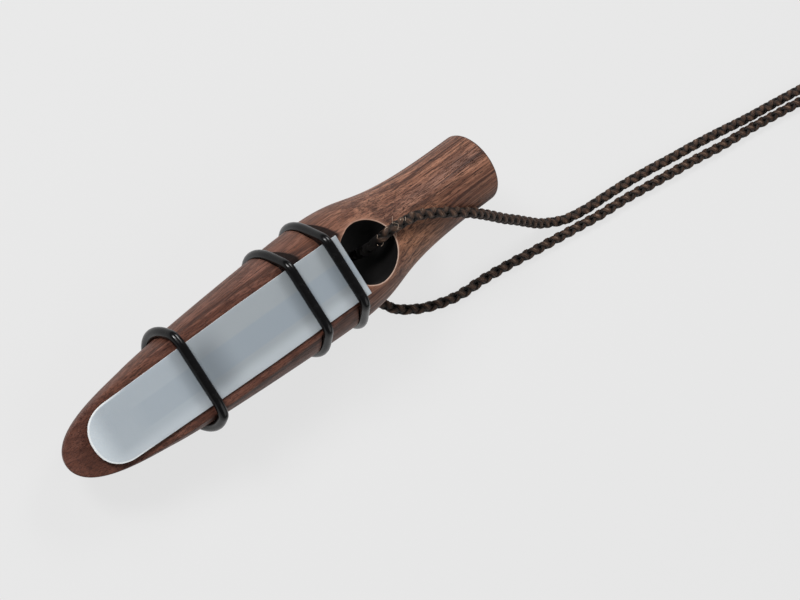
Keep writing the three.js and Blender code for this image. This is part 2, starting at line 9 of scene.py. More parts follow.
import bmesh
import bpy
import numpy as np
from mathutils import Matrix, Vector
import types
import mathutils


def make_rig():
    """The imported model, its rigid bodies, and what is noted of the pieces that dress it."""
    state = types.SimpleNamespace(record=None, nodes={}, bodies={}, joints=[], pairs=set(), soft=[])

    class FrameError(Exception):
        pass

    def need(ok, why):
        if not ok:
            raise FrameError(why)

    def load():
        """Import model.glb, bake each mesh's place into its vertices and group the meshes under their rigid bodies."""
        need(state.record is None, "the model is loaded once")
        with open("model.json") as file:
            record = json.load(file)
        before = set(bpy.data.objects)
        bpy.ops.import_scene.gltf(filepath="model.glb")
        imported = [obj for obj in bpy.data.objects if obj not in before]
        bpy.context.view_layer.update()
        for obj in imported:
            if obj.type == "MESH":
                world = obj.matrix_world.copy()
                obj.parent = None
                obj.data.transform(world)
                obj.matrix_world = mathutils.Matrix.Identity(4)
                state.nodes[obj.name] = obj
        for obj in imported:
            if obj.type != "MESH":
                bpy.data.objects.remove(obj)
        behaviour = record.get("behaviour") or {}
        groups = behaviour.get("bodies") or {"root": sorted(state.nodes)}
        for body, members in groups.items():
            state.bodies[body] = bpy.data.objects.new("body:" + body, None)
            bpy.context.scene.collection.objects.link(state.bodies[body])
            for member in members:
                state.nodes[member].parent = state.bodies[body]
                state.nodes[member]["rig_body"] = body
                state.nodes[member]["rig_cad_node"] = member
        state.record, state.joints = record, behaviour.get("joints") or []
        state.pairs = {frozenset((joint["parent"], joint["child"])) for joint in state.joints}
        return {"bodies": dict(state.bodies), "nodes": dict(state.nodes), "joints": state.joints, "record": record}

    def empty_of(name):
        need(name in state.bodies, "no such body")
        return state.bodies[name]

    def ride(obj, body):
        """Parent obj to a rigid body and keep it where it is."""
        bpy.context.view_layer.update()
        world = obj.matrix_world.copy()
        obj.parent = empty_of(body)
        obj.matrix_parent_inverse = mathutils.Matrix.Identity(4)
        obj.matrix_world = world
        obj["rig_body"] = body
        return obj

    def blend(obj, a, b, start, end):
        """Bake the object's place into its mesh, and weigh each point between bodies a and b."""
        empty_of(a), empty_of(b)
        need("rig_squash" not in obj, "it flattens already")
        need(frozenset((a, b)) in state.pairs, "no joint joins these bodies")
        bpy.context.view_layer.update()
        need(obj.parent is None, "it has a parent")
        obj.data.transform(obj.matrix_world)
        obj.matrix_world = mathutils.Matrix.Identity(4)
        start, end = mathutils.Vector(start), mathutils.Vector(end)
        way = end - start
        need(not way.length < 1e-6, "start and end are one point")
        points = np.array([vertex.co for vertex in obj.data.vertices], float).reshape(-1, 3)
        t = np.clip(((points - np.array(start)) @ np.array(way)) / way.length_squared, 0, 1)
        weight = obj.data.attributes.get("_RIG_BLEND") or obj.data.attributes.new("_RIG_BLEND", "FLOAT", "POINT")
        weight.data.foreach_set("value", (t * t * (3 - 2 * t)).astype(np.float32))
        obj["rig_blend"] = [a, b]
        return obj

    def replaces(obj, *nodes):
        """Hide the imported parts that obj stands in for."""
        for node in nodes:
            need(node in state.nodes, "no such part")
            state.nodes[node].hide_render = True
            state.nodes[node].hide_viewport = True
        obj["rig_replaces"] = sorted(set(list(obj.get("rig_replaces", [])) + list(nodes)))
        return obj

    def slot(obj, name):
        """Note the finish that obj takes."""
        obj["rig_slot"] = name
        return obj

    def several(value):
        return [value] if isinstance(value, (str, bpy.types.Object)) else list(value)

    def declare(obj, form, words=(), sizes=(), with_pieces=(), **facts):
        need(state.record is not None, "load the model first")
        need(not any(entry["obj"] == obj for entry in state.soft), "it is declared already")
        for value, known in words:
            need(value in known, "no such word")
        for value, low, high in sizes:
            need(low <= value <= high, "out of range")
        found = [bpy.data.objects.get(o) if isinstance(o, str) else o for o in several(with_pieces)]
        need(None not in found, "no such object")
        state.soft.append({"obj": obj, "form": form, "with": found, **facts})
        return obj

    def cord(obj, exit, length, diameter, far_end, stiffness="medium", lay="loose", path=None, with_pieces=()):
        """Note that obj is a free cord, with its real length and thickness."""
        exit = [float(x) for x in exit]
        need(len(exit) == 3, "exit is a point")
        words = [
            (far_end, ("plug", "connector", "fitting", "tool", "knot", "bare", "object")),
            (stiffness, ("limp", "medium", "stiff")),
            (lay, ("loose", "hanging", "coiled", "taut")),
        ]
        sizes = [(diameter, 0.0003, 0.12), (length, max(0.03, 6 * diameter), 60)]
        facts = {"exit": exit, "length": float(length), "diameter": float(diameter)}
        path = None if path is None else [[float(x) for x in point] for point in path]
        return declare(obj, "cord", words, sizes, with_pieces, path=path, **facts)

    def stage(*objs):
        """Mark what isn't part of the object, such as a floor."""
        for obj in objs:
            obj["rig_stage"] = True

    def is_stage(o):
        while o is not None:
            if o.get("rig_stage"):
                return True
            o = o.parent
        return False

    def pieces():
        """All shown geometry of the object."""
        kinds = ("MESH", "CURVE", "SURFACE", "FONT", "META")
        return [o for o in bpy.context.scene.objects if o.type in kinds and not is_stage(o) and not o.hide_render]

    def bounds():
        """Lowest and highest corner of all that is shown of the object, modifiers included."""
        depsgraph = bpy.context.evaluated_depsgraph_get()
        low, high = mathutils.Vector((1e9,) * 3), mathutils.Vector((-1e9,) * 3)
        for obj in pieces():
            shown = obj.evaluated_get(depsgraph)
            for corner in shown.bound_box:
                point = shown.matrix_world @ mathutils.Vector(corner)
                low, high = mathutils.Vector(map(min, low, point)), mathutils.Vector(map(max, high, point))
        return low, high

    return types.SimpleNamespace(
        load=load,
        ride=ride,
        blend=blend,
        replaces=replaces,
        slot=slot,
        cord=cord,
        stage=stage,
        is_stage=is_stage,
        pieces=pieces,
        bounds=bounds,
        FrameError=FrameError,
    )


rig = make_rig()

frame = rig.load()
cad_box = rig.bounds()

# The materials and the lanyard's routes are in millimetres
MM = 1000.0

# Camera, fitted to the photograph
CAMERA_PLACE = Vector((-0.273094, 0.073794, 0.473726))
CAMERA_BACK = Vector((-0.535209, 0.156402, 0.830114))
CAMERA_UP = Vector((0.519070, 0.836179, 0.177121))
CAMERA_LENS = 127.07
CAMERA_SENSOR = 36.0
CAMERA_NEAR = 0.01

# The surface's half width and its share of plain shine, the room's own light, and square soft
# lamps: name, place, target, size and power
SURFACE_HALF = 1.5
SURFACE_SHINE = 0.9
ROOM_LIGHT = 0.26
LAMPS = (
    ("key", (-0.35, 0.5, 0.5), (0, 0, 0), 0.2, 5.0),
    ("second", (0.4, 0.35, 0.5), (0.02, 0, 0), 0.25, 2.6),
    ("fill", (0.2, -0.5, 0.5), (0.03, 0, 0), 0.6, 1.5),
)

# Turned body, and how finely it is drawn
BODY_LENGTH = 0.108
NOSE_LENGTH = 0.020
NOSE_RADIUS = 0.00857
NOSE_SLOPE = 0.152
NOSE_BLUNTNESS = 0.00684
NOSE_REACH = 0.3
BELLY_X = 0.0661
BELLY_RADIUS = 0.01142
BELLY_REACH_FRONT = 0.165
BELLY_REACH_BACK = 0.4
WAIST_LENGTH = 0.0372
WAIST_REACH = 0.72
HANDLE_RADIUS = 0.0075
HANDLE_EDGE_RADIUS = 0.0009
NOSE_STEPS = 60
BELLY_STEPS = 90
WAIST_STEPS = 70
HANDLE_EDGE_POINTS = 9
LEAST_SLICE = 0.00002
LEAST_SPACING = 1e-6

# Tone board, air channel and cross hole
BOARD_HEIGHT = 0.00937
BOARD_SLOPE = radians(6.9)
FACING_LENGTH = 0.027
FACING_DROP = 0.0019
BOARD_EDGE_ROUND = 0.0003
BOARD_EDGE_SHARE = 0.3
BOARD_EDGE_STEPS = 5
BOARD_POINTS = 27
SIDE_POINTS = 64
CORNER_SINES = (-0.999, sin(radians(82)))
CHANNEL_WIDTH = 0.006
CHANNEL_DEPTH = 0.0036
CHANNEL_START = 0.012
CHANNEL_NOSE_ANGLES = np.linspace(0.06, pi / 2, 10)
CHANNEL_BOWL_ANGLES = np.linspace(0, -pi, 21)
CHANNEL_STEPS = 29
HOLE_X = 0.0718
HOLE_RADIUS = 0.0063
HOLE_EDGE_ROUND = 0.0003
HOLE_EDGE_ANGLES = np.radians([0, 25, 50, 75])
HOLE_POINTS = 128

# Reed
REED_WIDTH = 0.0131
REED_TIP_WIDTH = 0.0119
REED_THICKNESS = 0.00035
REED_TIP_INSET = 0.005
REED_TIP_DEPTH = 0.0065
REED_TAPER_LENGTH = 0.032
REED_OVERHANG = 0.0018
REED_TIP_FULLNESS = 0.62
REED_EDGE_ROUND = 0.00009
REED_EDGE_CURVE = ((0, 0), (0.5, 0.13), (0.87, 0.5), (1, 1))
REED_TIP_STEPS = 22
REED_STEPS = 59
REED_POINTS_ACROSS = 17
REED_BEND_START = 0.031
SEAT_GAP = 0.0002

# Rubber rings
RING_SECTION = 0.002
RING_GAP = 0.0002
TUNING_RING_X = 0.029
REAR_RING_INSET = 0.0029
RING_SPACING = 0.0092
RING_SINK_FRONT = 0.00025
RING_SINK_REAR = 0.0011
RING_LEAN_MIDDLE = 0.065
RING_LEAN_REAR = 0.16
RING_SKEW = 0.40
RING_SHIFT_LIMIT = 0.0032
RING_STEP = 0.00025
RING_ARC_POINTS = 48
RING_SMOOTHING_PASSES = 16
RING_SIDES = 20
NOTCH_CLEARANCE = 0.00012
NOTCH_MARGIN = 1.15
NOTCH_SLICES = 50

# Angles about the axis, -90 at the bottom: a ring starts to sink in, or to lean, at the first and
# does so fully at the second
SINK_ANGLES = (radians(-89), radians(-62))
LEAN_ANGLES = (radians(-88), radians(-25))
NOTCH_TOP_ANGLE = radians(75)

# Lanyard
CORD_DIAMETER = 0.002
STRAND_SPACING = 0.0025
COIL_OUTER_RADIUS = 0.0165
COIL_TURNS = 4.25
COIL_REVERSAL = 2
COIL_CLIMB_TURNS = 0.5
COIL_CENTRE = (0.1662, -0.0533)
COIL_ENTRY = radians(82)
COIL_LEAD_IN = 0.005
COIL_LEAD_OUT = 0.011
COIL_LEAD_OUT_STEPS = 6
COIL_DROP_SHARE = 0.8
COIL_STEPS_PER_TURN = 24
ROUTE_SAMPLES = 12
ROUTE_DECIMALS = 6
TIE_THICKNESS = 0.0003
TIE_GAP = 0.0002
TIE_WIDTH = 0.003
TIE_ANGLE = radians(150)
TIE_CORNER_RADIUS = 0.001
KNOT_WRAPS = 3
KNOT_TAIL = 0.004
KNOT_BITE = 0.00015
KNOT_PITCH = 0.00192
KNOT_STEPS_PER_WRAP = 24
KNOT_TAIL_POINTS = 12
END_GAP = 0.0003

# Braid: four yarns, two each way round, each with its fibres shifted in the material
YARNS = 4
BRAID_PITCH = 0.0062
YARN_HALF_WIDTH = 0.00068
YARN_HALF_THICKNESS = 0.00041
YARN_RADIUS = 0.00060
YARN_WEAVE = 0.00016
YARN_SIDES = 8
YARN_STEPS_PER_PITCH = 20
YARN_FIBRE_SHIFT = 7.3

# Stray fibres, from one distance along a strand to another; the mark tells the material of them
STRAY_FIBRES = 18
STRAY_RADIUS = 0.00004
STRAY_START = 0.0088
STRAY_REACH = 0.0158
STRAY_LENGTHS = (0.0008, 0.0019)
STRAY_CURL = 0.14
STRAY_CURL_HALF_TURNS = 0.8
STRAY_STEPS = 6
STRAY_SIDES = 3
STRAY_MARK = 5

# Edges that turn by more than this many degrees look sharp
SHARP_ANGLE = 30
SHARP_ANGLE_REED = 50
SHARP_ANGLE_ROUND = 80
SHARP_ANGLE_TIE = 40

# Vertices as near as this are one, and arcs turn by at most this angle a step
SAME_VERTEX = 1e-7
ARC_STEP = radians(9)

# The body's own axis in the row frame, from its handle end
handle_end = next(m for m in frame["record"]["mounts"] if m["name"] == "handle_end")
handle_place = Vector(handle_end["pos_m"])
along_body = Vector(handle_end["axis"]).normalized()
above_body = Vector((-along_body.z, 0, along_body.x))

reed_back_x = HOLE_X - HOLE_RADIUS + REED_OVERHANG
rear_ring_x = reed_back_x - REAR_RING_INSET
middle_ring_x = rear_ring_x - RING_SPACING
LEANING_RINGS = ((middle_ring_x, RING_LEAN_MIDDLE), (rear_ring_x, RING_LEAN_REAR))
cord_radius = CORD_DIAMETER / 2
yarn_step = BRAID_PITCH / YARN_STEPS_PER_PITCH
ring_radius = RING_SECTION / 2
chance = np.random.default_rng(7)


def lie(x, y, h):
    """The row-frame place of a point: x from the tip along the axis, y across, h above the axis."""
    return handle_place + along_body * (x - BODY_LENGTH) + Vector((0, y, 0)) + above_body * h


def smoothstep(value, low, high):
    t = min(max((value - low) / (high - low), 0), 1)
    return t * t * (3 - 2 * t)


def unit(rows):
    """Each row as a direction."""
    return rows / np.linalg.norm(rows, axis=1)[:, None]


def on_circle(radius, angle):
    return radius * cos(angle), radius * sin(angle)


def full_turn(count):
    """Angles of a full turn, evenly spread."""
    return [2 * pi * j / count for j in range(count)]


def bezier(points, steps):
    """Points of a cubic curve, without its first one."""
    t = np.linspace(0, 1, steps + 1)[1:, None]
    p = np.array(points, float)
    return sum([(1 - t) ** 3 * p[0], 3 * (1 - t) ** 2 * t * p[1],
                3 * (1 - t) * t ** 2 * p[2], t ** 3 * p[3]])


def turned_profile():
    """(x, radius) along the turning, finely."""
    waist_x = BELLY_X + WAIST_LENGTH
    nose = NOSE_LENGTH * NOSE_REACH
    front = (BELLY_X - NOSE_LENGTH) * BELLY_REACH_FRONT
    back = WAIST_LENGTH * BELLY_REACH_BACK
    waist = WAIST_LENGTH * WAIST_REACH
    shoulder = (NOSE_LENGTH, NOSE_RADIUS)
    belly = (BELLY_X, BELLY_RADIUS)
    neck = (waist_x, HANDLE_RADIUS)
    edge = [(BODY_LENGTH - HANDLE_EDGE_RADIUS * (1 - sin(a)),
             HANDLE_RADIUS - HANDLE_EDGE_RADIUS * (1 - cos(a)))
            for a in np.linspace(0, pi / 2, HANDLE_EDGE_POINTS)]
    return np.vstack([
        [(0, 0)],
        bezier([(0, 0), (0, NOSE_BLUNTNESS),
                (NOSE_LENGTH - nose, NOSE_RADIUS - nose * NOSE_SLOPE), shoulder], NOSE_STEPS),
        bezier([shoulder, (NOSE_LENGTH + front, NOSE_RADIUS + front * NOSE_SLOPE),
                (BELLY_X - front, BELLY_RADIUS), belly], BELLY_STEPS),
        bezier([belly, (BELLY_X + back, BELLY_RADIUS),
                (waist_x - waist, HANDLE_RADIUS), neck], WAIST_STEPS),
        edge,
    ])


profile = turned_profile()


def body_radius(x):
    return float(np.interp(x, profile[:, 0], profile[:, 1]))


def seat_height(x):
    """Height of the straight reed seat above the axis, carried on both ways."""
    return BOARD_HEIGHT + tan(BOARD_SLOPE) * (x - BELLY_X)


def board_height(x):
    """Height of the tone board: the seat, falling away along the facing towards the tip."""
    share = max(FACING_LENGTH - x, 0) / FACING_LENGTH
    return seat_height(x) - FACING_DROP * share ** 2


def reed_half_width(x):
    share = min(max((x - REED_TIP_INSET - REED_TIP_DEPTH) / REED_TAPER_LENGTH, 0), 1)
    return (REED_TIP_WIDTH + (REED_WIDTH - REED_TIP_WIDTH) * share) / 2


# Meshes

def in_scene(name, data):
    obj = bpy.data.objects.new(name, data)
    bpy.context.scene.collection.objects.link(obj)
    return obj


def smooth(mesh, sharp_angle):
    mesh.shade_smooth()
    mesh.set_sharp_from_angle(angle=radians(sharp_angle))


def new_object(name, vertices, faces, sharp_angle=SHARP_ANGLE):
    mesh = bpy.data.meshes.new(name)
    mesh.from_pydata([tuple(v) for v in vertices], [], faces)
    mesh.validate()
    mesh.update()
    smooth(mesh, sharp_angle)
    return in_scene(name, mesh)


def skin(sections, closed_along=False, first_vertex=0):
    """Faces between closed sections of equal size, each a list of points."""
    count = len(sections[0])
    total = len(sections)
    faces = []
    for i in range(total if closed_along else total - 1):
        a = first_vertex + i * count
        b = first_vertex + ((i + 1) % total) * count
        for j in range(count):
            k = (j + 1) % count
            faces.append((a + j, b + j, b + k, a + k))
    if not closed_along:
        faces.append(tuple(first_vertex + j for j in range(count)))
        last = first_vertex + (total - 1) * count
        faces.append(tuple(last + j for j in reversed(range(count))))
    return [p for section in sections for p in section], faces


def solid(name, sections, closed_along=False, sharp_angle=SHARP_ANGLE):
    """A closed mesh over the sections, its faces turned outward."""
    obj = new_object(name, *skin(sections, closed_along), sharp_angle)
    bm = bmesh.new()
    bm.from_mesh(obj.data)
    bmesh.ops.remove_doubles(bm, verts=bm.verts, dist=SAME_VERTEX)
    bmesh.ops.recalc_face_normals(bm, faces=bm.faces)
    bm.to_mesh(obj.data)
    bm.free()
    return obj


def subtract(obj, cutters):
    """Cuts closed meshes out of obj, one after the other, and removes them."""
    for cutter in cutters:
        cut = obj.modifiers.new("cut", "BOOLEAN")
        cut.operation = "DIFFERENCE"
        cut.solver = "EXACT"
        cut.object = cutter
        evaluated = obj.evaluated_get(bpy.context.evaluated_depsgraph_get())
        mesh = bpy.data.meshes.new_from_object(evaluated)
        obj.modifiers.clear()
        obj.data = mesh
        bpy.data.objects.remove(cutter)
    smooth(obj.data, SHARP_ANGLE)


def ring_contact(x):
    """At a ring's place: the body's radius, then the reed's and the flat's edge as (y, h)."""
    body = max(body_radius(x - ring_radius), body_radius(x + ring_radius))
    seat = seat_height(x + ring_radius)
    edge = np.array([reed_half_width(x), seat + SEAT_GAP + REED_THICKNESS])
    return body, edge, np.array([sqrt(body ** 2 - seat ** 2), seat])


def sunk_share(angle):
    """How fully a ring is sunk into the body: not at its lowest point, which bears on the table."""
    return smoothstep(angle, *SINK_ANGLES)


def ring_leave(x, sink):
    """The angle at which a ring that is sunk into the side leaves it for the reed's edge."""
    body, edge, _ = ring_contact(x)
    return atan2(edge[1], edge[0]) - acos(min((body - sink) / np.linalg.norm(edge), 1))


def ring_distance(x, sink, angle):
    """Distance of a ring's centre line from the axis on the body's side."""
    body, _, _ = ring_contact(x)
    leave = ring_leave(x, sink)
    distance = body + RING_GAP + ring_radius - sink * sunk_share(angle)
    return distance / cos(angle - leave) if angle > leave else distance


def ring_shift(x, lean, y, height):
    """How far a leaning ring lies towards the handle: nowhere on the reed and at its lowest point."""
    body, edge, _ = ring_contact(x)
    share = smoothstep(atan2(height, abs(y)), *LEAN_ANGLES)
    return lean * (1 - RING_SKEW * y / body) * max(edge[1] - height, 0) * share


def notch_depth(x, radius, angle, way):
    """Depth at which the two rear rings are let into the body's side: way is 1 for +Y, -1 for -Y."""
    ring, lean = min(LEANING_RINGS, key=lambda each: abs(x - each[0]))
    reach = ring_radius + NOTCH_CLEARANCE
    if not -reach < x - ring < reach + RING_SHIFT_LIMIT or angle > NOTCH_TOP_ANGLE:
        return 0
    y, height = on_circle(radius, angle)
    away = x - ring - ring_shift(ring, lean, way * y, height)
    if abs(away) >= reach:
        return 0
    lift = ring_distance(ring, RING_SINK_REAR, angle) - radius
    return max(sqrt(reach ** 2 - away ** 2) - lift, 0)


def body_section(x):
    """One slice of the body across its axis: the turned circle below, the tone board above."""
    radius = body_radius(x)
    height = board_height(x)
    lowest, highest = CORNER_SINES
    corner = asin(max(min(height / radius, highest), lowest))
    half = radius * cos(corner)
    cut = min(BOARD_EDGE_ROUND, BOARD_EDGE_SHARE * half)
    leaves = corner - cut / radius
    start = np.array(on_circle(radius, leaves))
    pivot = np.array([half, radius * sin(corner)])
    end = np.array([half - cut, min(height, sqrt(radius ** 2 - (half - cut) ** 2))])

    def side(way):
        points = []
        for a in np.linspace(-pi / 2, leaves, SIDE_POINTS):
            y, h = on_circle(radius - notch_depth(x, radius, a, way), a)
            points.append((way * y, h))
        for t in np.linspace(0, 1, BOARD_EDGE_STEPS + 1)[1:-1]:
            y, h = (1 - t) ** 2 * start + 2 * (1 - t) * t * pivot + t ** 2 * end
            points.append((way * y, h))
        return points

    top = [(y, min(height, sqrt(radius ** 2 - y ** 2)))
           for y in np.linspace(half - cut, cut - half, BOARD_POINTS)]
    other = side(-1)[:0:-1]
    return [lie(x, y, h) for y, h in [*side(1), *top, *other]]


def channel_cutter():
    """The ball-nosed groove under the reed, closed above the seat."""
    radius = CHANNEL_WIDTH / 2
    sections = []
    start = CHANNEL_START
    nose = [start + radius * (1 - cos(a)) for a in CHANNEL_NOSE_ANGLES]
    for x in [*nose, *np.linspace(start + radius, HOLE_X, CHANNEL_STEPS + 1)[1:]]:
        ahead = max(start + radius - x, 0)
        half = sqrt(radius ** 2 - ahead ** 2)
        middle = seat_height(x) - CHANNEL_DEPTH + radius
        top = seat_height(x) + radius
        bowl = [(half * cos(a), middle + half * sin(a)) for a in CHANNEL_BOWL_ANGLES]
        sections.append([lie(x, y, h) for y, h in [(half, top), *bowl, (-half, top)]])
    return solid("channel_cutter", sections)


def hole_cutter():
    """The cross hole, opened out at both rims so that their edges come out rounded."""
    def ring(radius, depth, below):
        points = []
        for a in full_turn(HOLE_POINTS):
            ahead, y = on_circle(radius, a)
            x = HOLE_X + ahead
            turned = sqrt(max(body_radius(x) ** 2 - y ** 2, 0))
            h = depth - turned if below else min(board_height(x), turned) - depth
            points.append(lie(x, y, h))
        return points

    rounding = [(HOLE_RADIUS + HOLE_EDGE_ROUND * (1 - cos(a)), HOLE_EDGE_ROUND * (1 - sin(a)))
                for a in HOLE_EDGE_ANGLES]
    # Past the rounding the cutter leaves the wood, and ends well outside it
    rounding.append((HOLE_RADIUS + 1.1 * HOLE_EDGE_ROUND, -0.07 * HOLE_EDGE_ROUND))
    rounding.append((HOLE_RADIUS + 1.2 * HOLE_EDGE_ROUND, -BELLY_RADIUS / 2))
    below = [ring(r, depth, True) for r, depth in reversed(rounding)]
    above = [ring(r, depth, False) for r, depth in rounding]
    return solid("hole_cutter", [*below, *above])


def walnut_body():
    """The body as slices, closer together at the notches, with channel and hole cut out."""
    margin = NOTCH_MARGIN * ring_radius
    near_notches = [ring + offset for ring, _ in LEANING_RINGS
                    for offset in np.linspace(-margin, RING_SHIFT_LIMIT + margin, NOTCH_SLICES)]
    stations = [x for x in sorted({*profile[:, 0], *near_notches})
                if board_height(x) + body_radius(x) > LEAST_SLICE]
    stations = [x for i, x in enumerate(stations) if i == 0 or x - stations[i - 1] > LEAST_SPACING]
    body = solid("turned_walnut", [body_section(x) for x in stations])
    subtract(body, [channel_cutter(), hole_cutter()])
    return body


def reed_outline():
    """Half of the reed's outline as (distance from the tip, half width), and its whole length."""
    tip = REED_TIP_WIDTH / 2
    pull = REED_TIP_FULLNESS
    curve = bezier([(0, 0), (0, tip * pull), (REED_TIP_DEPTH * (1 - pull), tip),
                    (REED_TIP_DEPTH, tip)], REED_TIP_STEPS)
    length = (reed_back_x - REED_TIP_INSET) / cos(BOARD_SLOPE)
    taper = np.linspace(REED_TIP_DEPTH, length - REED_EDGE_ROUND, REED_STEPS + 1)[1:]
    widened = np.minimum((taper - REED_TIP_DEPTH) / REED_TAPER_LENGTH, 1)
    widths = tip + (REED_WIDTH / 2 - tip) * widened
    return np.vstack([[(0, 0)], curve, np.column_stack([taper, widths])]), length


def reed_rows(outline, length):
    """Sections across the reed, flat: distance from the tip, place across and level."""
    forward = np.gradient(outline, axis=0)
    forward[0] = (0, 1)
    normals = unit(np.column_stack([-forward[:, 1], forward[:, 0]]))
    edge = REED_EDGE_ROUND
    rounded = [(share, REED_THICKNESS - edge * lift) for share, lift in REED_EDGE_CURVE]
    rounded += [(share, edge * lift) for share, lift in reversed(REED_EDGE_CURVE)]
    across = np.linspace(1, -1, REED_POINTS_ACROSS)[1:-1]
    rows = []
    for (u, half), (nu, nv) in zip(outline, normals):
        def at(out, level, side):
            return (u + nu * edge * (out - 1), side * (half + nv * edge * (out - 1)), level)
        near = [at(*place, 1) for place in rounded]
        far = [at(*place, -1) for place in reversed(rounded)]
        inner_u, inner_y, _ = near[0]
        top = [(inner_u, inner_y * s, REED_THICKNESS) for s in across[::-1]]
        bottom = [(inner_u, inner_y * s, 0) for s in across]
        rows.append([*near, *bottom, *far, *top])
    rows.append([
        (length, y * (1 - edge / REED_WIDTH), edge + z * (1 - 2 * edge / REED_THICKNESS))
        for _, y, z in rows[-1]
    ])
    return rows


def reed():
    base = seat_height(REED_TIP_INSET) + SEAT_GAP
    cosine, sine = cos(BOARD_SLOPE), sin(BOARD_SLOPE)
    sections = [
        [lie(REED_TIP_INSET + u * cosine - z * sine, y, base + u * sine + z * cosine)
         for u, y, z in row]
        for row in reed_rows(*reed_outline())
    ]
    piece = solid("reed_blade", sections)
    smooth(piece.data, SHARP_ANGLE_REED)
    return piece


def arc(centre, radius, start, end):
    count = max(2, ceil(abs(end - start) / ARC_STEP))
    return [(centre[0] + radius * cos(a), centre[1] + radius * sin(a))
            for a in np.linspace(start, end, count + 1)]


def ring_path(x, sink, lean):
    """Centre line (x, y, h) of a stretched ring: over the reed's edges, or the flat's further out."""
    body, edge, shoulder = ring_contact(x)
    wrap = RING_GAP + ring_radius
    leave = ring_leave(x, sink)
    flat_edge = atan2(shoulder[1], shoulder[0])
    if leave >= flat_edge:
        lift = atan2(shoulder[0] - edge[0], edge[1] - shoulder[1])
        half = [*arc(edge, wrap, pi / 2, lift), *arc(shoulder, wrap, lift, flat_edge)]
        leave = flat_edge
    else:
        half = arc(edge, wrap, pi / 2, leave)
    for a in np.linspace(leave, -pi / 2, RING_ARC_POINTS):
        half.append(on_circle(body + wrap - sink * sunk_share(a), a))
    other = [(-y, h) for y, h in reversed(half)]
    places = [(x + ring_shift(x, lean, y, h), y, h) for y, h in [*half, *other[1:], half[0]]]
    line = even_line(np.array(places), RING_STEP)[:-1]
    for _ in range(RING_SMOOTHING_PASSES):
        line = (np.roll(line, 1, axis=0) + 2 * line + np.roll(line, -1, axis=0)) / 4
    return line


def rubber_ring(name, x, sink, lean):
    """A ring let into the body's sides by sink, and leaning towards the handle down its sides."""
    line = ring_path(x, sink, lean)
    ahead = unit(np.roll(line, -1, axis=0) - np.roll(line, 1, axis=0))
    out = unit(np.cross(ahead, (1, 0, 0)))
    side = np.cross(ahead, out)
    sections = [
        [lie(*(middle + ring_radius * (o * cos(a) + s * sin(a))))
         for a in full_turn(RING_SIDES)]
        for middle, o, s in zip(line, out, side)
    ]
    ring = solid(name, sections, closed_along=True, sharp_angle=SHARP_ANGLE_ROUND)
    ring.data.shade_smooth()
    return ring


# Lanyard routes in millimetres, the solids' own but for an easier bend over the hole's rim: from
# the hole down to the table, and (x, y) along it

OVER_STRAND_LIFTED = [
    (20.4, -0.4, 14.2), (20.4, -0.3, 15.7), (20.15, -0.1, 18.4), (20.2, 0.4, 21.5), (21.4, 1, 24.2),
    (23.8, 1.25, 25.7), (26.9, 0.9, 25.6), (29.9, 0.3, 25), (33.2, -1, 24.35), (37.9, -3.4, 23.6),
    (43.1, -6.2, 21.9), (46.6, -8, 19.6), (51.1, -10.4, 16.3), (55.7, -13, 13), (60.4, -15.4, 9.8),
    (65.1, -17.9, 6.4), (69.8, -20.3, 3.2), (73.9, -22, 1.3),
]
OVER_STRAND_LYING = [
    (77.2, -23.3), (80.6, -24), (84.2, -24.5), (88.1, -24.8), (95.7, -25.4), (103.3, -26.3),
    (110.8, -27.4), (118.5, -28.4), (126.2, -29.6), (134.5, -31), (142.5, -32.1), (151, -33.3),
]
UNDER_STRAND_LIFTED = [
    (20.4, -0.4, 13.9), (20.3, -0.5, 12.3), (20.2, -0.7, 8.8), (20.3, -1.3, 5.4), (21.1, -3.2, 2.5),
    (22.8, -6.1, 1.2),
]
UNDER_STRAND_LYING = [
    (24.9, -9.5), (27.2, -13), (29.7, -16.2), (32.1, -17.8), (34.7, -19.2), (37.5, -20.3),
    (40.5, -21.2), (43.7, -21.9), (47, -22.3), (50.7, -22.5), (57.7, -23.3), (64.6, -24.3),
    (71.7, -25.3), (78.8, -26.3), (86, -27.3), (93.6, -28), (101.1, -29), (108.7, -30),
    (116.3, -31), (124, -32.2), (134.3, -33.35), (142.3, -34.5), (150.6, -35.7),
]


def route(lifted, lying):
    """The places in metres; those that lie on the surface are a cord's radius above it."""
    places = [*lifted, *((x, y, cord_radius * MM) for x, y in lying)]
    return [tuple(round(value / MM, ROUTE_DECIMALS) for value in place) for place in places]


over_route = route(OVER_STRAND_LIFTED, OVER_STRAND_LYING)
under_route = route(UNDER_STRAND_LIFTED, UNDER_STRAND_LYING)

coil_floor = TIE_THICKNESS + TIE_GAP
strand_offset = STRAND_SPACING / 2
wrap_half_width = strand_offset + CORD_DIAMETER - KNOT_BITE
wrap_half_height = CORD_DIAMETER - KNOT_BITE
knot_height = wrap_half_height + cord_radius
knot_length = (KNOT_WRAPS + 1) * CORD_DIAMETER


def pair_on_coil(turns):
    """Centre of the doubled cord after some turns, its outward direction and its heading."""
    half_climb = COIL_CLIMB_TURNS / 2
    climb = smoothstep(turns, COIL_REVERSAL - half_climb, COIL_REVERSAL + half_climb)
    angle = COIL_ENTRY - 2 * pi * turns
    radius = COIL_OUTER_RADIUS - 2 * STRAND_SPACING * (COIL_REVERSAL - abs(turns - COIL_REVERSAL))
    outward_way = Vector((cos(angle), sin(angle), 0))
    heading = Vector((sin(angle), -cos(angle), 0))
    centre = Vector((*COIL_CENTRE, coil_floor + cord_radius)) + outward_way * radius
    centre.z += STRAND_SPACING * climb
    return centre, outward_way, heading


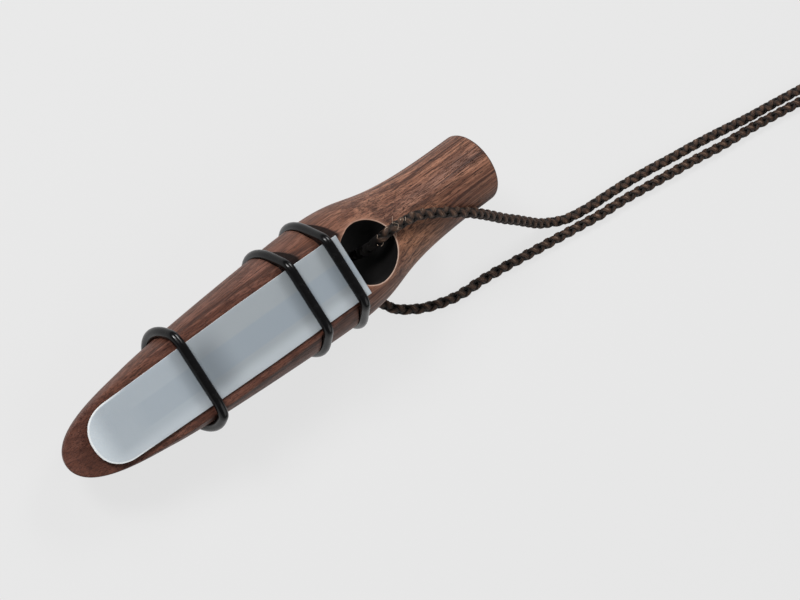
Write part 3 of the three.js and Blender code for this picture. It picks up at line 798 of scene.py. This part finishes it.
def coiled_strand(side):
    """One strand of the coil: side is 1 for the outer strand and -1 for the inner one."""
    offset = side * strand_offset
    start, out, heading = pair_on_coil(0)
    points = [start + out * offset - heading * back for back in (COIL_LEAD_IN, COIL_LEAD_IN / 2)]
    for i in range(round(COIL_TURNS * COIL_STEPS_PER_TURN) + 1):
        centre, out, _ = pair_on_coil(i / COIL_STEPS_PER_TURN)
        points.append(centre + out * offset)
    end, out, heading = pair_on_coil(COIL_TURNS)
    drop = end.z - knot_height
    for share in np.linspace(0, 1, COIL_LEAD_OUT_STEPS + 1)[1:]:
        point = end + out * offset + heading * (COIL_LEAD_OUT * share)
        point.z -= drop * smoothstep(share, 0, COIL_DROP_SHARE)
        points.append(point)
    return points


def smooth_line(points, step):
    """A centripetal Catmull-Rom curve through the points, resampled evenly."""
    p = np.array([tuple(q) for q in points], float)
    p = np.vstack([2 * p[0] - p[1], p, 2 * p[-1] - p[-2]])
    fine = []
    for i in range(1, len(p) - 2):
        p0, p1, p2, p3 = p[i - 1:i + 3]
        t0 = 0
        t1 = t0 + sqrt(np.linalg.norm(p1 - p0))
        t2 = t1 + sqrt(np.linalg.norm(p2 - p1))
        t3 = t2 + sqrt(np.linalg.norm(p3 - p2))
        t = np.linspace(t1, t2, ROUTE_SAMPLES, endpoint=False)[:, None]

        def between(low, high, a, b):
            return (high - t) / (high - low) * a + (t - low) / (high - low) * b

        a2 = between(t1, t2, p1, p2)
        b1 = between(t0, t2, between(t0, t1, p0, p1), a2)
        b2 = between(t1, t3, a2, between(t2, t3, p2, p3))
        fine.append(between(t1, t2, b1, b2))
    return even_line(np.vstack([*fine, p[-2:-1]]), step)


def distances_along(points):
    return np.concatenate([[0], np.cumsum(np.linalg.norm(np.diff(points, axis=0), axis=1))])


def even_line(points, step):
    """The line through the points with its points as far apart as the step, or nearly."""
    gone = distances_along(points)
    count = max(2, round(gone[-1] / step))
    wanted = np.linspace(0, gone[-1], count + 1)
    return np.column_stack([np.interp(wanted, gone, column) for column in points.T])


def line_length(points):
    return float(np.linalg.norm(np.diff(points, axis=0), axis=1).sum())


def carried_frames(line):
    """Two directions across the line at each point, carried along it without twist."""
    ahead = unit(np.gradient(line, axis=0))
    first = np.cross(ahead[0], (0, 0, 1))
    if np.linalg.norm(first) < 0.1:
        first = np.cross(ahead[0], (0, 1, 0))
    across = [first / np.linalg.norm(first)]
    for direction in ahead[1:]:
        turned = across[-1] - direction * np.dot(across[-1], direction)
        across.append(turned / np.linalg.norm(turned))
    across = np.array(across)
    return ahead, across, np.cross(ahead, across)


def yarn(line, frames, gone, number):
    """One yarn's sections round a line, and for each point its place along, across and above it."""
    _, across, up = frames
    way = 1 if number % 2 == 0 else -1
    start = pi * (number // 2) + (0 if way > 0 else pi / 2)
    angle = way * 2 * pi * gone / BRAID_PITCH + start
    radius = YARN_RADIUS + YARN_WEAVE * way * np.sin(4 * pi * gone / BRAID_PITCH)
    out = across * np.cos(angle)[:, None] + up * np.sin(angle)[:, None]
    middle = line + out * radius[:, None]
    side = unit(np.cross(unit(np.gradient(middle, axis=0)), out))
    sections, lay = [], []
    turns = full_turn(YARN_SIDES)
    for m, s, o, g, r in zip(middle, side, out, gone, radius):
        sections.append([
            m + s * YARN_HALF_WIDTH * cos(a) + o * YARN_HALF_THICKNESS * sin(a)
            for a in turns
        ])
        lay += [(MM * g + YARN_FIBRE_SHIFT * number, cos(a),
                 MM * (r + YARN_HALF_THICKNESS * sin(a))) for a in turns]
    return sections, lay


def stray_fibres(line, frames, reach):
    """Short loose fibres standing off the braid near the start of a line."""
    ahead, across, up = frames
    last = round(reach / np.linalg.norm(line[1] - line[0]))
    for _ in range(STRAY_FIBRES):
        i = chance.integers(round(last * STRAY_START / reach), last)
        angle = chance.uniform(0, 2 * pi)
        out = across[i] * cos(angle) + up[i] * sin(angle)
        lean = np.cross(ahead[i], out) * chance.uniform(-1, 1) + ahead[i] * chance.uniform(-1, 1)
        foot = line[i] + out * cord_radius
        length = chance.uniform(*STRAY_LENGTHS)
        curl = pi * STRAY_CURL_HALF_TURNS
        points = [foot + out * length * sin(t * curl) * STRAY_CURL + lean * length * t
                  for t in np.linspace(0, 1, STRAY_STEPS + 1)]
        yield [
            [p + across[i] * STRAY_RADIUS * cos(a) + up[i] * STRAY_RADIUS * sin(a)
             for a in full_turn(STRAY_SIDES)]
            for p in points
        ]


def braid(name, lines, stray_reach=0):
    """Four interlaced yarns round each line, as one mesh that remembers its place along a yarn."""
    vertices, faces, lay = [], [], []

    def add(sections, places):
        points, quads = skin(sections, first_vertex=len(vertices))
        vertices.extend(points)
        faces.extend(quads)
        lay.extend(places)

    for line in lines:
        frames = carried_frames(line)
        gone = distances_along(line)
        for number in range(YARNS):
            add(*yarn(line, frames, gone, number))
    if stray_reach:
        for sections in stray_fibres(lines[0], carried_frames(lines[0]), stray_reach):
            add(sections, [(0, 0, STRAY_MARK)] * sum(map(len, sections)))
    piece = new_object(name, vertices, faces, SHARP_ANGLE_ROUND)
    attribute = piece.data.attributes.new("lay", "FLOAT_VECTOR", "POINT")
    attribute.data.foreach_set("vector", [value for place in lay for value in place])
    return piece


def lanyard_knot():
    """Three wraps round the doubled end, with two short tails past it."""
    end, out, heading = pair_on_coil(COIL_TURNS)
    place = end + heading * (COIL_LEAD_OUT + END_GAP)
    place.z = knot_height

    def at(x, y, z):
        return tuple(place + heading * x + out * y + Vector((0, 0, z)))

    wraps = [
        at(cord_radius + KNOT_PITCH * turn, wrap_half_width * cos(2 * pi * turn),
           wrap_half_height * sin(2 * pi * turn))
        for turn in np.linspace(0, KNOT_WRAPS, KNOT_STEPS_PER_WRAP * KNOT_WRAPS + 1)
    ]
    lines = [even_line(np.array(wraps), yarn_step)]
    tail_end = knot_length + KNOT_TAIL
    for side in (-1, 1):
        tail = [at(x, side * strand_offset, 0) for x in np.linspace(0, tail_end, KNOT_TAIL_POINTS)]
        lines.append(even_line(np.array(tail), yarn_step))
    return braid("wrapped_knot", lines)


def coil_tie():
    """A woven strip round the coil's section."""
    first = ((COIL_ENTRY - TIE_ANGLE) / (2 * pi)) % 1
    passes = [(pair_on_coil(turns)[0].xy - Vector(COIL_CENTRE)).length
              for turns in np.arange(first, COIL_TURNS)]
    half_pair = strand_offset + cord_radius + 2 * TIE_GAP
    inner, outer = min(passes) - half_pair, max(passes) + half_pair
    top = coil_floor + CORD_DIAMETER + STRAND_SPACING + TIE_GAP
    out = Vector((cos(TIE_ANGLE), sin(TIE_ANGLE), 0))
    along = Vector((-out.y, out.x, 0))
    centre = Vector((*COIL_CENTRE, 0))

    def loop(grow):
        r = TIE_CORNER_RADIUS + grow - TIE_THICKNESS
        low, high = inner - grow, outer + grow
        bottom, roof = TIE_THICKNESS - grow, top + grow
        quarter = pi / 2
        corners = [((high - r, bottom + r), -quarter), ((high - r, roof - r), 0),
                   ((low + r, roof - r), quarter), ((low + r, bottom + r), 2 * quarter)]
        return [p for corner, start in corners for p in arc(corner, r, start, start + quarter)]

    around = ((-1, 0), (-1, 1), (-0.5, 1), (0, 1), (0.5, 1), (1, 1), (1, 0), (0, 0))
    sections = [
        [centre + out * (x0 + (x1 - x0) * share) + along * (across * TIE_WIDTH / 2)
         + Vector((0, 0, z0 + (z1 - z0) * share)) for across, share in around]
        for (x0, z0), (x1, z1) in zip(loop(0), loop(TIE_THICKNESS))
    ]
    return solid("woven_tie", sections, closed_along=True, sharp_angle=SHARP_ANGLE_TIE)


# Materials: their lengths are millimetres, in the directions of body_coordinates

def rgba(red, green, blue):
    """A colour from its sRGB values, 0 to 255, as linear light."""
    def linear(value):
        v = value / 255
        return v / 12.92 if v <= 0.04045 else ((v + 0.055) / 1.055) ** 2.4
    return (linear(red), linear(green), linear(blue), 1)


WOOD_LIGHT = rgba(156, 110, 87)
WOOD_LIGHT_IN_FRONT = rgba(113, 75, 62)
WOOD_MIDDLE = rgba(98, 61, 46)
WOOD_DARK = rgba(52, 28, 20)
WOOD_PORE = rgba(26, 13, 9)
PAINTED_LIGHT_BESIDE_HOLE = rgba(176, 124, 92)
WOOD_PLANED = rgba(78, 43, 34)
WOOD_RIM_HIGHLIGHT = rgba(214, 186, 168)
WOOD_HOLE_SHADE = rgba(4, 2, 2)
WOOD_END_EDGE_SHADE = rgba(52, 33, 28)
PAINTED_WEDGE_SHADE = rgba(12, 5, 4)
REED_FRONT = rgba(149, 157, 164), rgba(157, 165, 171)
REED_BACK = rgba(139, 146, 151), rgba(147, 153, 157)
REED_NOSE = rgba(196, 204, 209)
REED_NEAR_SIDE = rgba(184, 191, 196)
REED_CHANNEL_SHADE = rgba(130, 142, 153)
REED_DARK_REFLECTION = rgba(90, 97, 103)
REED_EDGE = rgba(222, 225, 225)
RUBBER = rgba(3, 3, 4), rgba(11, 11, 12)
YARN = rgba(24, 12, 7), rgba(98, 71, 54)
YARN_TINT = rgba(36, 24, 18)
YARN_GAP_SHADE = rgba(9, 5, 3)
YARN_RIDGE_HIGHLIGHT = rgba(140, 116, 98)
YARN_HOLE_SHADE = rgba(6, 3, 2)
STRAY_FIBRE = rgba(214, 190, 168)
TIE_THREADS = rgba(22, 22, 23), rgba(46, 46, 47)
SURFACE = rgba(230, 230, 230)

# Where a look begins or ends along the body, from and to, in millimetres from the tip
WOOD_LIGHTENS = (56.0, 78.0)
STREAKS_STRENGTHEN = (66.0, 86.0)
BESIDE_HOLE_BEGINS = (76.0, 81.0)
BESIDE_HOLE_ENDS = (86.0, 96.0)
DARK_NOSE_ENDS = (6.0, 20.0)
PLANED_ENDS = (58.0, 72.0)
EDGE_LINE_BEGINS = (18.0, 30.0)
EDGE_LINE_ENDS = (60.0, 68.0)
REED_TURNS_DARKER = (26.0, 33.0)
REED_NOSE_ENDS = (5.0, 10.5)
REED_RIM_ENDS = (10.0, 17.0)
CHANNEL_SHADE_BEGINS = (13.0, 18.0)
CHANNEL_SHADE_DEEPENS = (22.0, 34.0)
DARK_REFLECTION_BEGINS = (29.5, 31.5)
DARK_REFLECTION_ENDS = (32.0, 39.0)


class Look:
    """A material's node tree and its colour so far, with short calls for the nodes used here."""

    def __init__(self, name):
        self.material = bpy.data.materials.new(name)
        self.material.use_nodes = True
        self.tree = self.material.node_tree
        self.shader = self.tree.nodes["Principled BSDF"]
        self.colour = None

    def add(self, kind, inputs=(), **settings):
        node = self.tree.nodes.new(kind)
        for key, value in settings.items():
            setattr(node, key, value)
        self.fill(node, inputs)
        return node

    def fill(self, node, inputs):
        for key, value in dict(inputs).items():
            self.put(node.inputs[key], value)

    def put(self, socket, value):
        if isinstance(value, bpy.types.NodeSocket):
            self.tree.links.new(value, socket)
        else:
            socket.default_value = value

    def math(self, operation, a, b=0.0, clamp=False):
        return self.add("ShaderNodeMath", {0: a, 1: b}, operation=operation,
                        use_clamp=clamp).outputs[0]

    def chain(self, operation, value, *others):
        for other in others:
            value = self.math(operation, value, other)
        return value

    def times(self, *values):
        return self.chain("MULTIPLY", *values)

    def plus(self, *values):
        return self.chain("ADD", *values)

    def minus(self, *values):
        return self.chain("SUBTRACT", *values)

    def highest(self, *values):
        return self.chain("MAXIMUM", *values)

    def sum_of_powers(self, a, b, power):
        return self.plus(self.math("POWER", a, power), self.math("POWER", b, power))

    def distance(self, a, b):
        return self.math("SQRT", self.sum_of_powers(a, b, 2.0))

    def noise(self, vector, scale, detail=2.0, roughness=0.5):
        return self.add("ShaderNodeTexNoise", {"Vector": vector, "Scale": scale, "Detail": detail,
                                               "Roughness": roughness}).outputs["Fac"]

    def stretched_noise(self, vector, factors, detail=2.0, roughness=0.5):
        return self.noise(self.vector_math("MULTIPLY", vector, factors), 1.0, detail, roughness)

    def step(self, value, low, high, to_low=0.0, to_high=1.0):
        """A smooth step between two values."""
        return self.add("ShaderNodeMapRange", {
            "Value": value, "From Min": low, "From Max": high, "To Min": to_low, "To Max": to_high,
        }, interpolation_type="SMOOTHSTEP").outputs["Result"]

    def fall(self, value, low, high, share=1.0):
        """A smooth step from a share down to nothing."""
        return self.step(value, low, high, share, 0.0)

    def mix(self, factor, a, b):
        return self.add("ShaderNodeMix", {"Factor": factor, "A": a, "B": b}, data_type="RGBA",
                        blend_type="MIX").outputs["Result"]

    def paint(self, colour, *shares):
        """Lays a colour over the one so far, by the product of its shares."""
        self.colour = self.mix(self.times(*shares), self.colour, colour)

    def vector_math(self, operation, a, b, output="Vector"):
        return self.add("ShaderNodeVectorMath", {0: a, 1: b}, operation=operation).outputs[output]

    def place(self):
        return self.add("ShaderNodeTexCoord").outputs["Object"]

    def bump(self, height, distance, strength):
        return self.add("ShaderNodeBump", {"Height": height, "Distance": distance,
                                           "Strength": strength}).outputs["Normal"]

    def finished(self, roughness, normal, specular=None):
        """The material, with its colour, roughness and relief joined to the shader."""
        self.fill(self.shader, {"Base Color": self.colour, "Roughness": roughness, "Normal": normal})
        if specular is not None:
            self.fill(self.shader, {"Specular IOR Level": specular})
        return self.material


def body_coordinates(look):
    """Millimetres along, across and above the body's axis, from Object coordinates."""
    shift = look.vector_math("SUBTRACT", look.place(), tuple(lie(0, 0, 0)))

    def part(direction):
        return look.times(look.vector_math("DOT_PRODUCT", shift, tuple(direction), "Value"), MM)

    x, y, h = part(along_body), part(Vector((0, 1, 0))), part(above_body)
    combined = look.add("ShaderNodeCombineXYZ", {"X": x, "Y": y, "Z": h}).outputs[0]
    return combined, x, y, h


def distance_from_hole(look, x, y):
    """Millimetres from the cross hole's middle line."""
    return look.distance(look.minus(x, MM * HOLE_X), y)


def streaked(look, grain, length, width, detail=3.0, roughness=0.6):
    """Noise drawn out along the body: streaks about length by width."""
    return look.stretched_noise(grain, (1 / length, 1 / width, 1 / width), detail, roughness)


def growth_rings(look, grain, x, y, h):
    """Thin late-wood lines of rings about a pith beside the body, wavy along the grain."""
    pith_aside, pith_below, slant, rings_per_mm = 17.0, 30.0, 0.03, 0.7
    waves = look.stretched_noise(grain, (0.016, 0.07, 0.07), 2.0)
    fine_waves = look.stretched_noise(grain, (0.04, 0.4, 0.4), 3.0)
    distance = look.distance(look.plus(y, pith_aside), look.plus(h, pith_below))
    bent = look.plus(distance, look.times(x, slant), look.times(waves, 6.0),
                     look.times(fine_waves, 0.9))
    ring = look.math("FRACT", look.times(bent, rings_per_mm))
    line_ends = 0.94
    return look.times(look.step(ring, 0.45, line_ends), look.fall(ring, line_ends, 1.0))


def paint_grain(look, grain, x, y, h):
    """The wood's tones, late-wood lines, streaks and pores, and a patch of painted light beside the hole; returns its
    fine streaks and pores.
    """
    broad = streaked(look, grain, length=34.0, width=1.0, detail=4.0)
    fine = streaked(look, grain, length=18.0, width=0.26)
    strong = streaked(look, grain, length=45.0, width=0.75, detail=2.0, roughness=0.5)
    pores = streaked(look, grain, length=2.2, width=0.13, detail=2.0)
    clouds = look.stretched_noise(grain, (0.05, 0.16, 0.16))

    light = look.mix(look.step(x, *WOOD_LIGHTENS), WOOD_LIGHT_IN_FRONT, WOOD_LIGHT)
    look.colour = look.mix(look.step(broad, 0.33, 0.64), light, WOOD_MIDDLE)
    look.paint(WOOD_MIDDLE, look.step(clouds, 0.35, 0.7), 0.4)
    # Painted light beside the hole on the -Y side, which faces away from the key lamp
    look.paint(PAINTED_LIGHT_BESIDE_HOLE, look.step(x, *BESIDE_HOLE_BEGINS),
               look.fall(x, *BESIDE_HOLE_ENDS), look.fall(y, -2.0, 3.0, 0.55))
    look.paint(WOOD_DARK, growth_rings(look, grain, x, y, h), 0.45)
    look.paint(WOOD_DARK, look.step(fine, 0.48, 0.62), 0.75)
    strength = look.step(x, *STREAKS_STRENGTHEN, 0.45, 0.95)
    look.paint(WOOD_DARK, look.step(strong, 0.56, 0.66), strength, 0.8)
    pore_mask = look.step(pores, 0.55, 0.66)
    look.paint(WOOD_PORE, pore_mask, 0.8)
    return fine, pore_mask


def paint_board(look, x, h, fine):
    """The planed flat and the nose are a little darker, with a line of painted shade under the flat's edges."""
    slope = tan(BOARD_SLOPE)
    just_below = 0.12
    seat = look.plus(look.times(x, slope), MM * (BOARD_HEIGHT - slope * BELLY_X) - just_below)
    above_seat = look.minus(h, seat)
    planed = look.times(look.step(above_seat, 0.0, 0.08), look.fall(x, *PLANED_ENDS, 0.3))
    look.paint(WOOD_PLANED, look.highest(planed, look.fall(x, *DARK_NOSE_ENDS, 0.5)))
    # A line of painted shade just under the flat's edges
    look.paint(WOOD_DARK, look.step(above_seat, -1.3, -0.7), look.fall(above_seat, -0.25, -0.02),
               look.step(fine, 0.3, 0.5, 0.4, 0.85), look.step(x, *EDGE_LINE_BEGINS),
               look.fall(x, *EDGE_LINE_ENDS))


def paint_wedge_shadows(look, x, y, h):
    """A painted shadow behind each rear ring on the +Y side: a dark wedge, wider towards the flat, where the ring
    stands off the wood.
    """
    wedge_foot, wedge_spread, thinnest = 3.2, 0.5, 0.05
    wedge_shade = 0.0
    for ring_x, lean in LEANING_RINGS:
        _, edge, _ = ring_contact(ring_x)
        leaning = look.times(look.minus(MM * edge[1], h), lean * (1 - RING_SKEW))
        behind = look.minus(x, MM * (ring_x + ring_radius), leaning)
        width = look.highest(look.times(look.minus(h, wedge_foot), wedge_spread), thinnest)
        shade_behind_ring = look.times(look.fall(look.math("DIVIDE", behind, width), 0.8, 1.1, 0.95),
                           look.step(behind, -2.0, -1.8), look.step(y, 3.0, 4.0))
        wedge_shade = look.highest(wedge_shade, shade_behind_ring)
    # The wedges are painted shadow of the rings, laid over the wood
    look.paint(PAINTED_WEDGE_SHADE, wedge_shade)
    return wedge_shade


def paint_hole(look, x, y):
    """The cross hole: painted shade within it, lighter wood round its rim, and a thin painted highlight on the rim's
    rounding, brightest towards +X and -Y.
    """
    from_hole = distance_from_hole(look, x, y)
    rim = MM * HOLE_RADIUS
    look.paint(WOOD_LIGHT, look.fall(from_hole, rim + 0.15, rim + 1.3), 0.45)
    # A thin painted highlight on the rim's rounding, brightest towards +X and -Y
    towards_highlight = look.minus(x, MM * HOLE_X, y)
    look.paint(WOOD_RIM_HIGHLIGHT, look.fall(from_hole, rim + 0.2, rim + 0.36),
               look.step(towards_highlight, -2.0, 6.0, 0.2, 0.65))
    # Painted shade within the hole
    hole_shade = look.fall(from_hole, rim + 0.02, rim + 0.1)
    look.paint(WOOD_HOLE_SHADE, hole_shade)
    return hole_shade


def walnut_material():
    look = Look("oiled_walnut")
    grain, x, y, h = body_coordinates(look)
    fine, pore_mask = paint_grain(look, grain, x, y, h)
    paint_board(look, x, h, fine)
    wedge_shade = paint_wedge_shadows(look, x, y, h)
    hole_shade = paint_hole(look, x, y)
    end = MM * BODY_LENGTH
    # Painted shade along the rounded edge of the handle end
    look.paint(WOOD_END_EDGE_SHADE, look.step(x, end - 0.9, end - 0.3, 0.0, 0.65))
    satin = look.step(fine, 0.3, 0.75, 0.44, 0.6)
    roughness = look.highest(satin, look.highest(hole_shade, wedge_shade))
    relief = look.plus(look.times(pore_mask, -1.0), look.times(fine, -0.8))
    return look.finished(roughness, look.bump(relief, 0.00006, 0.9), specular=0.25)


def reed_tip_rim(look, x, y):
    """How near to the outline of the reed's tip, by a superellipse: 1 on the outline."""
    roundness = 2.3
    from_tip = look.math("DIVIDE", look.minus(x, MM * REED_TIP_INSET), MM * REED_TIP_DEPTH)
    ahead = look.math("SUBTRACT", 1.0, from_tip, clamp=True)
    across = look.math("DIVIDE", look.math("ABSOLUTE", y), MM * REED_TIP_WIDTH / 2)
    return look.math("POWER", look.sum_of_powers(ahead, across, roundness), 1 / roundness)


def reed_material():
    look = Look("milky_plastic")
    grain, x, y, _ = body_coordinates(look)
    side = look.math("ABSOLUTE", look.plus(y, 0.3))
    cloud = look.stretched_noise(grain, (0.05, 0.12, 0.12))
    front, back = look.mix(cloud, *REED_FRONT), look.mix(cloud, *REED_BACK)
    look.colour = look.mix(look.step(x, *REED_TURNS_DARKER), front, back)
    # A painted highlight towards the tip, and a painted reflection along the -Y side
    look.paint(REED_NOSE, look.fall(x, *REED_NOSE_ENDS, 0.7))
    look.paint(REED_NEAR_SIDE, look.fall(y, -5.6, -3.0, 0.5))

    # Painted shade: the dark open channel showing through the milky plastic; darkest just behind the tuning ring,
    # where a painted dark reflection lies, strongest mid-width
    look.paint(REED_CHANNEL_SHADE, look.fall(side, 2.1, 2.6), look.step(x, *CHANNEL_SHADE_BEGINS),
               look.step(x, *CHANNEL_SHADE_DEEPENS, 0.25, 0.5))
    look.paint(REED_DARK_REFLECTION, look.step(x, *DARK_REFLECTION_BEGINS), look.fall(x, *DARK_REFLECTION_ENDS),
               look.step(side, 2.4, 6.4, 1.0, 0.3), 0.6)

    # Painted highlights: on its cut edge, found by the normal, and on a thin rim round the tip
    normal = look.add("ShaderNodeNewGeometry").outputs["Normal"]
    facing = look.vector_math("DOT_PRODUCT", normal, tuple(above_body), "Value")
    look.paint(REED_EDGE, look.fall(facing, 0.3, 0.85, 0.8))
    look.paint(REED_EDGE, look.step(reed_tip_rim(look, x, y), 0.935, 0.975),
               look.fall(x, *REED_RIM_ENDS, 0.75))
    look.fill(look.shader, {"Subsurface Weight": 0.1, "Subsurface Scale": 1.0,
                            "Subsurface Radius": (0.0006, 0.0007, 0.0008)})
    drawn = streaked(look, grain, length=10.0, width=0.4, detail=2.0)
    return look.finished(look.step(drawn, 0.2, 0.8, 0.3, 0.42), look.bump(drawn, 0.000004, 0.5))


def rubber_material():
    look = Look("ring_rubber")
    place = look.place()
    dust = look.noise(place, 900.0, 3.0)
    look.colour = look.mix(look.step(dust, 0.5, 0.8), *RUBBER)
    grit = look.bump(look.noise(place, 2600.0, 2.0), 0.00001, 0.4)
    return look.finished(look.step(dust, 0.3, 0.8, 0.2, 0.3), grit, specular=0.3)


def cord_material():
    """In the braid's coordinates: along a yarn, across it, and from the middle line or a mark."""
    look = Look("braided_cord")
    lay = look.add("ShaderNodeAttribute", attribute_name="lay").outputs["Vector"]
    height = look.add("ShaderNodeSeparateXYZ", {0: lay}).outputs["Z"]
    fibres = look.stretched_noise(lay, (0.8, 6.0, 1.0), 3.0, 0.65)
    tint = look.stretched_noise(lay, (0.25, 0.8, 0.4))
    look.colour = look.mix(look.step(fibres, 0.35, 0.7), *YARN)
    look.paint(YARN_TINT, tint, 0.5)
    # Painted shade in the gaps between the yarns, and painted highlights on their ridges
    look.paint(YARN_GAP_SHADE, look.fall(height, 0.80, 1.06, 0.95))
    look.paint(YARN_RIDGE_HIGHLIGHT, look.step(height, 1.08, 1.17), look.step(fibres, 0.4, 0.6, 0.1, 0.6))
    _, x, y, h = body_coordinates(look)
    from_hole = distance_from_hole(look, x, y)
    # Painted shade on the cord where it runs through the hole
    cord_hole_shade = look.times(look.fall(from_hole, 6.2, 7.4), look.fall(h, 9.0, 10.7))
    look.paint(YARN_HOLE_SHADE, cord_hole_shade)
    look.paint(STRAY_FIBRE, look.step(height, 2.0, 3.0))
    roughness = look.highest(look.step(fibres, 0.3, 0.8, 0.65, 0.45), cord_hole_shade)
    return look.finished(roughness, look.bump(fibres, 0.0001, 0.9), specular=0.25)


def tie_material():
    look = Look("woven_strip")
    place = look.place()
    weave = look.add("ShaderNodeTexChecker", {"Vector": place, "Scale": 2500.0,
                                              "Color1": (1, 1, 1, 1), "Color2": (0, 0, 0, 1)})
    look.colour = look.mix(look.noise(place, 3000.0, 2.0), *TIE_THREADS)
    return look.finished(0.75, look.bump(weave.outputs["Fac"], 0.00005, 0.6))


def dress(obj, material, slot, body, *stands_for):
    """Gives a piece its material, its slot, the nodes that it stands for and the body it rides."""
    obj.data.materials.clear()
    obj.data.materials.append(material)
    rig.slot(obj, slot)
    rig.replaces(obj, *stands_for)
    if body:
        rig.ride(obj, body)


# The camera and the room

def add_camera():
    camera = in_scene("camera", bpy.data.cameras.new("camera"))
    camera.data.lens = CAMERA_LENS
    camera.data.sensor_width = CAMERA_SENSOR
    camera.data.clip_start = CAMERA_NEAR
    back = CAMERA_BACK.normalized()
    right = CAMERA_UP.cross(back).normalized()
    turn = Matrix((right, back.cross(right), back)).transposed()
    camera.matrix_world = Matrix.Translation(CAMERA_PLACE) @ turn.to_4x4()
    bpy.context.scene.camera = camera


def add_lamp(name, place, target, size, power):
    lamp = in_scene(name, bpy.data.lights.new(name, "AREA"))
    lamp.data.shape = "RECTANGLE"
    lamp.data.size = lamp.data.size_y = size
    lamp.data.energy = power
    lamp.location = place
    lamp.rotation_euler = (Vector(target) - Vector(place)).to_track_quat("-Z", "Y").to_euler()


def surface_material():
    """Shows nearly plain, and still takes the shadows of what lies on it."""
    look = Look("pale_surface")
    light = look.add("ShaderNodeLightPath")
    seen = look.highest(*(light.outputs[f"Is {kind} Ray"]
                          for kind in ("Camera", "Glossy", "Transmission")))
    plain = look.add("ShaderNodeEmission", {"Color": SURFACE, "Strength": 1.0})
    look.fill(look.shader, {"Base Color": SURFACE, "Roughness": 0.9, "Specular IOR Level": 0.1})
    mixed = look.add("ShaderNodeMixShader", {0: look.times(seen, SURFACE_SHINE),
                                             1: look.shader.outputs[0], 2: plain.outputs[0]})
    look.put(look.tree.nodes["Material Output"].inputs["Surface"], mixed.outputs[0])
    return look.material


def add_room():
    """A wide pale surface, a plain world and soft lamps from above."""
    half = SURFACE_HALF
    corners = [(-half, -half, 0), (half, -half, 0), (half, half, 0), (-half, half, 0)]
    floor = new_object("surface", corners, [(0, 1, 2, 3)])
    floor.data.materials.append(surface_material())
    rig.stage(floor)

    world = bpy.data.worlds.new("room")
    world.use_nodes = True
    background = world.node_tree.nodes["Background"]
    background.inputs["Color"].default_value = SURFACE
    background.inputs["Strength"].default_value = ROOM_LIGHT
    bpy.context.scene.world = world
    for lamp in LAMPS:
        add_lamp(*lamp)


# The pieces

def add_lanyard():
    """Two strands with their coils, the knot that joins them and the tie."""
    look = cord_material()
    over_line, under_line = [
        smooth_line([*map(Vector, places), *coiled_strand(side)], yarn_step)
        for places, side in ((over_route, 1), (under_route, -1))
    ]
    over = braid("over_lanyard", [over_line], STRAY_REACH)
    under = braid("under_lanyard", [under_line])
    knot = lanyard_knot()
    tie = coil_tie()
    dress(over, look, "lanyard_cord", "call", "lanyard_over_strand", "lanyard_outer_coil")
    dress(under, look, "lanyard_cord", "call", "lanyard_under_strand", "lanyard_inner_coil")
    dress(knot, look, "lanyard_cord", "call", "lanyard_knot")
    dress(tie, tie_material(), "tie_strap", "call", "coil_tie")
    for strand, places, line, held in ((over, over_route, over_line, [knot, tie]),
                                       (under, under_route, under_line, [knot])):
        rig.cord(strand, exit=places[0], length=line_length(line), diameter=CORD_DIAMETER,
                far_end="knot", stiffness="limp", lay="loose", path=line, with_pieces=held)


def add_call():
    """The body, its three rings, and the reed, which bends from behind the tuning ring forward."""
    dress(walnut_body(), walnut_material(), "walnut", "call", "walnut_body")
    rubber = rubber_material()
    for name, x, sink, lean, rides, node in (
            ("front_o_ring", TUNING_RING_X, RING_SINK_FRONT, 0, "tuning_ring", "tuning_ring"),
            ("middle_o_ring", middle_ring_x, RING_SINK_REAR, RING_LEAN_MIDDLE, "call", "middle_ring"),
            ("rear_o_ring", rear_ring_x, RING_SINK_REAR, RING_LEAN_REAR, "call", "rear_ring")):
        dress(rubber_ring(name, x, sink, lean), rubber, "ring_rubber", rides, node)
    blade = reed()
    dress(blade, reed_material(), "reed_plastic", None, "reed")

    def under_reed(x):
        return lie(x, 0, seat_height(x) + SEAT_GAP)

    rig.blend(blade, "call", "reed", start=under_reed(REED_BEND_START), end=under_reed(REED_TIP_INSET))


add_camera()
add_room()
add_lanyard()
add_call()
bpy.context.scene.view_settings.view_transform = "Standard"


def as_lists(box):
    return [list(map(float, corner)) for corner in box]


with open("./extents.json", "w") as sizes:
    json.dump({"cad": as_lists(cad_box), "visual": as_lists(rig.bounds())}, sizes)
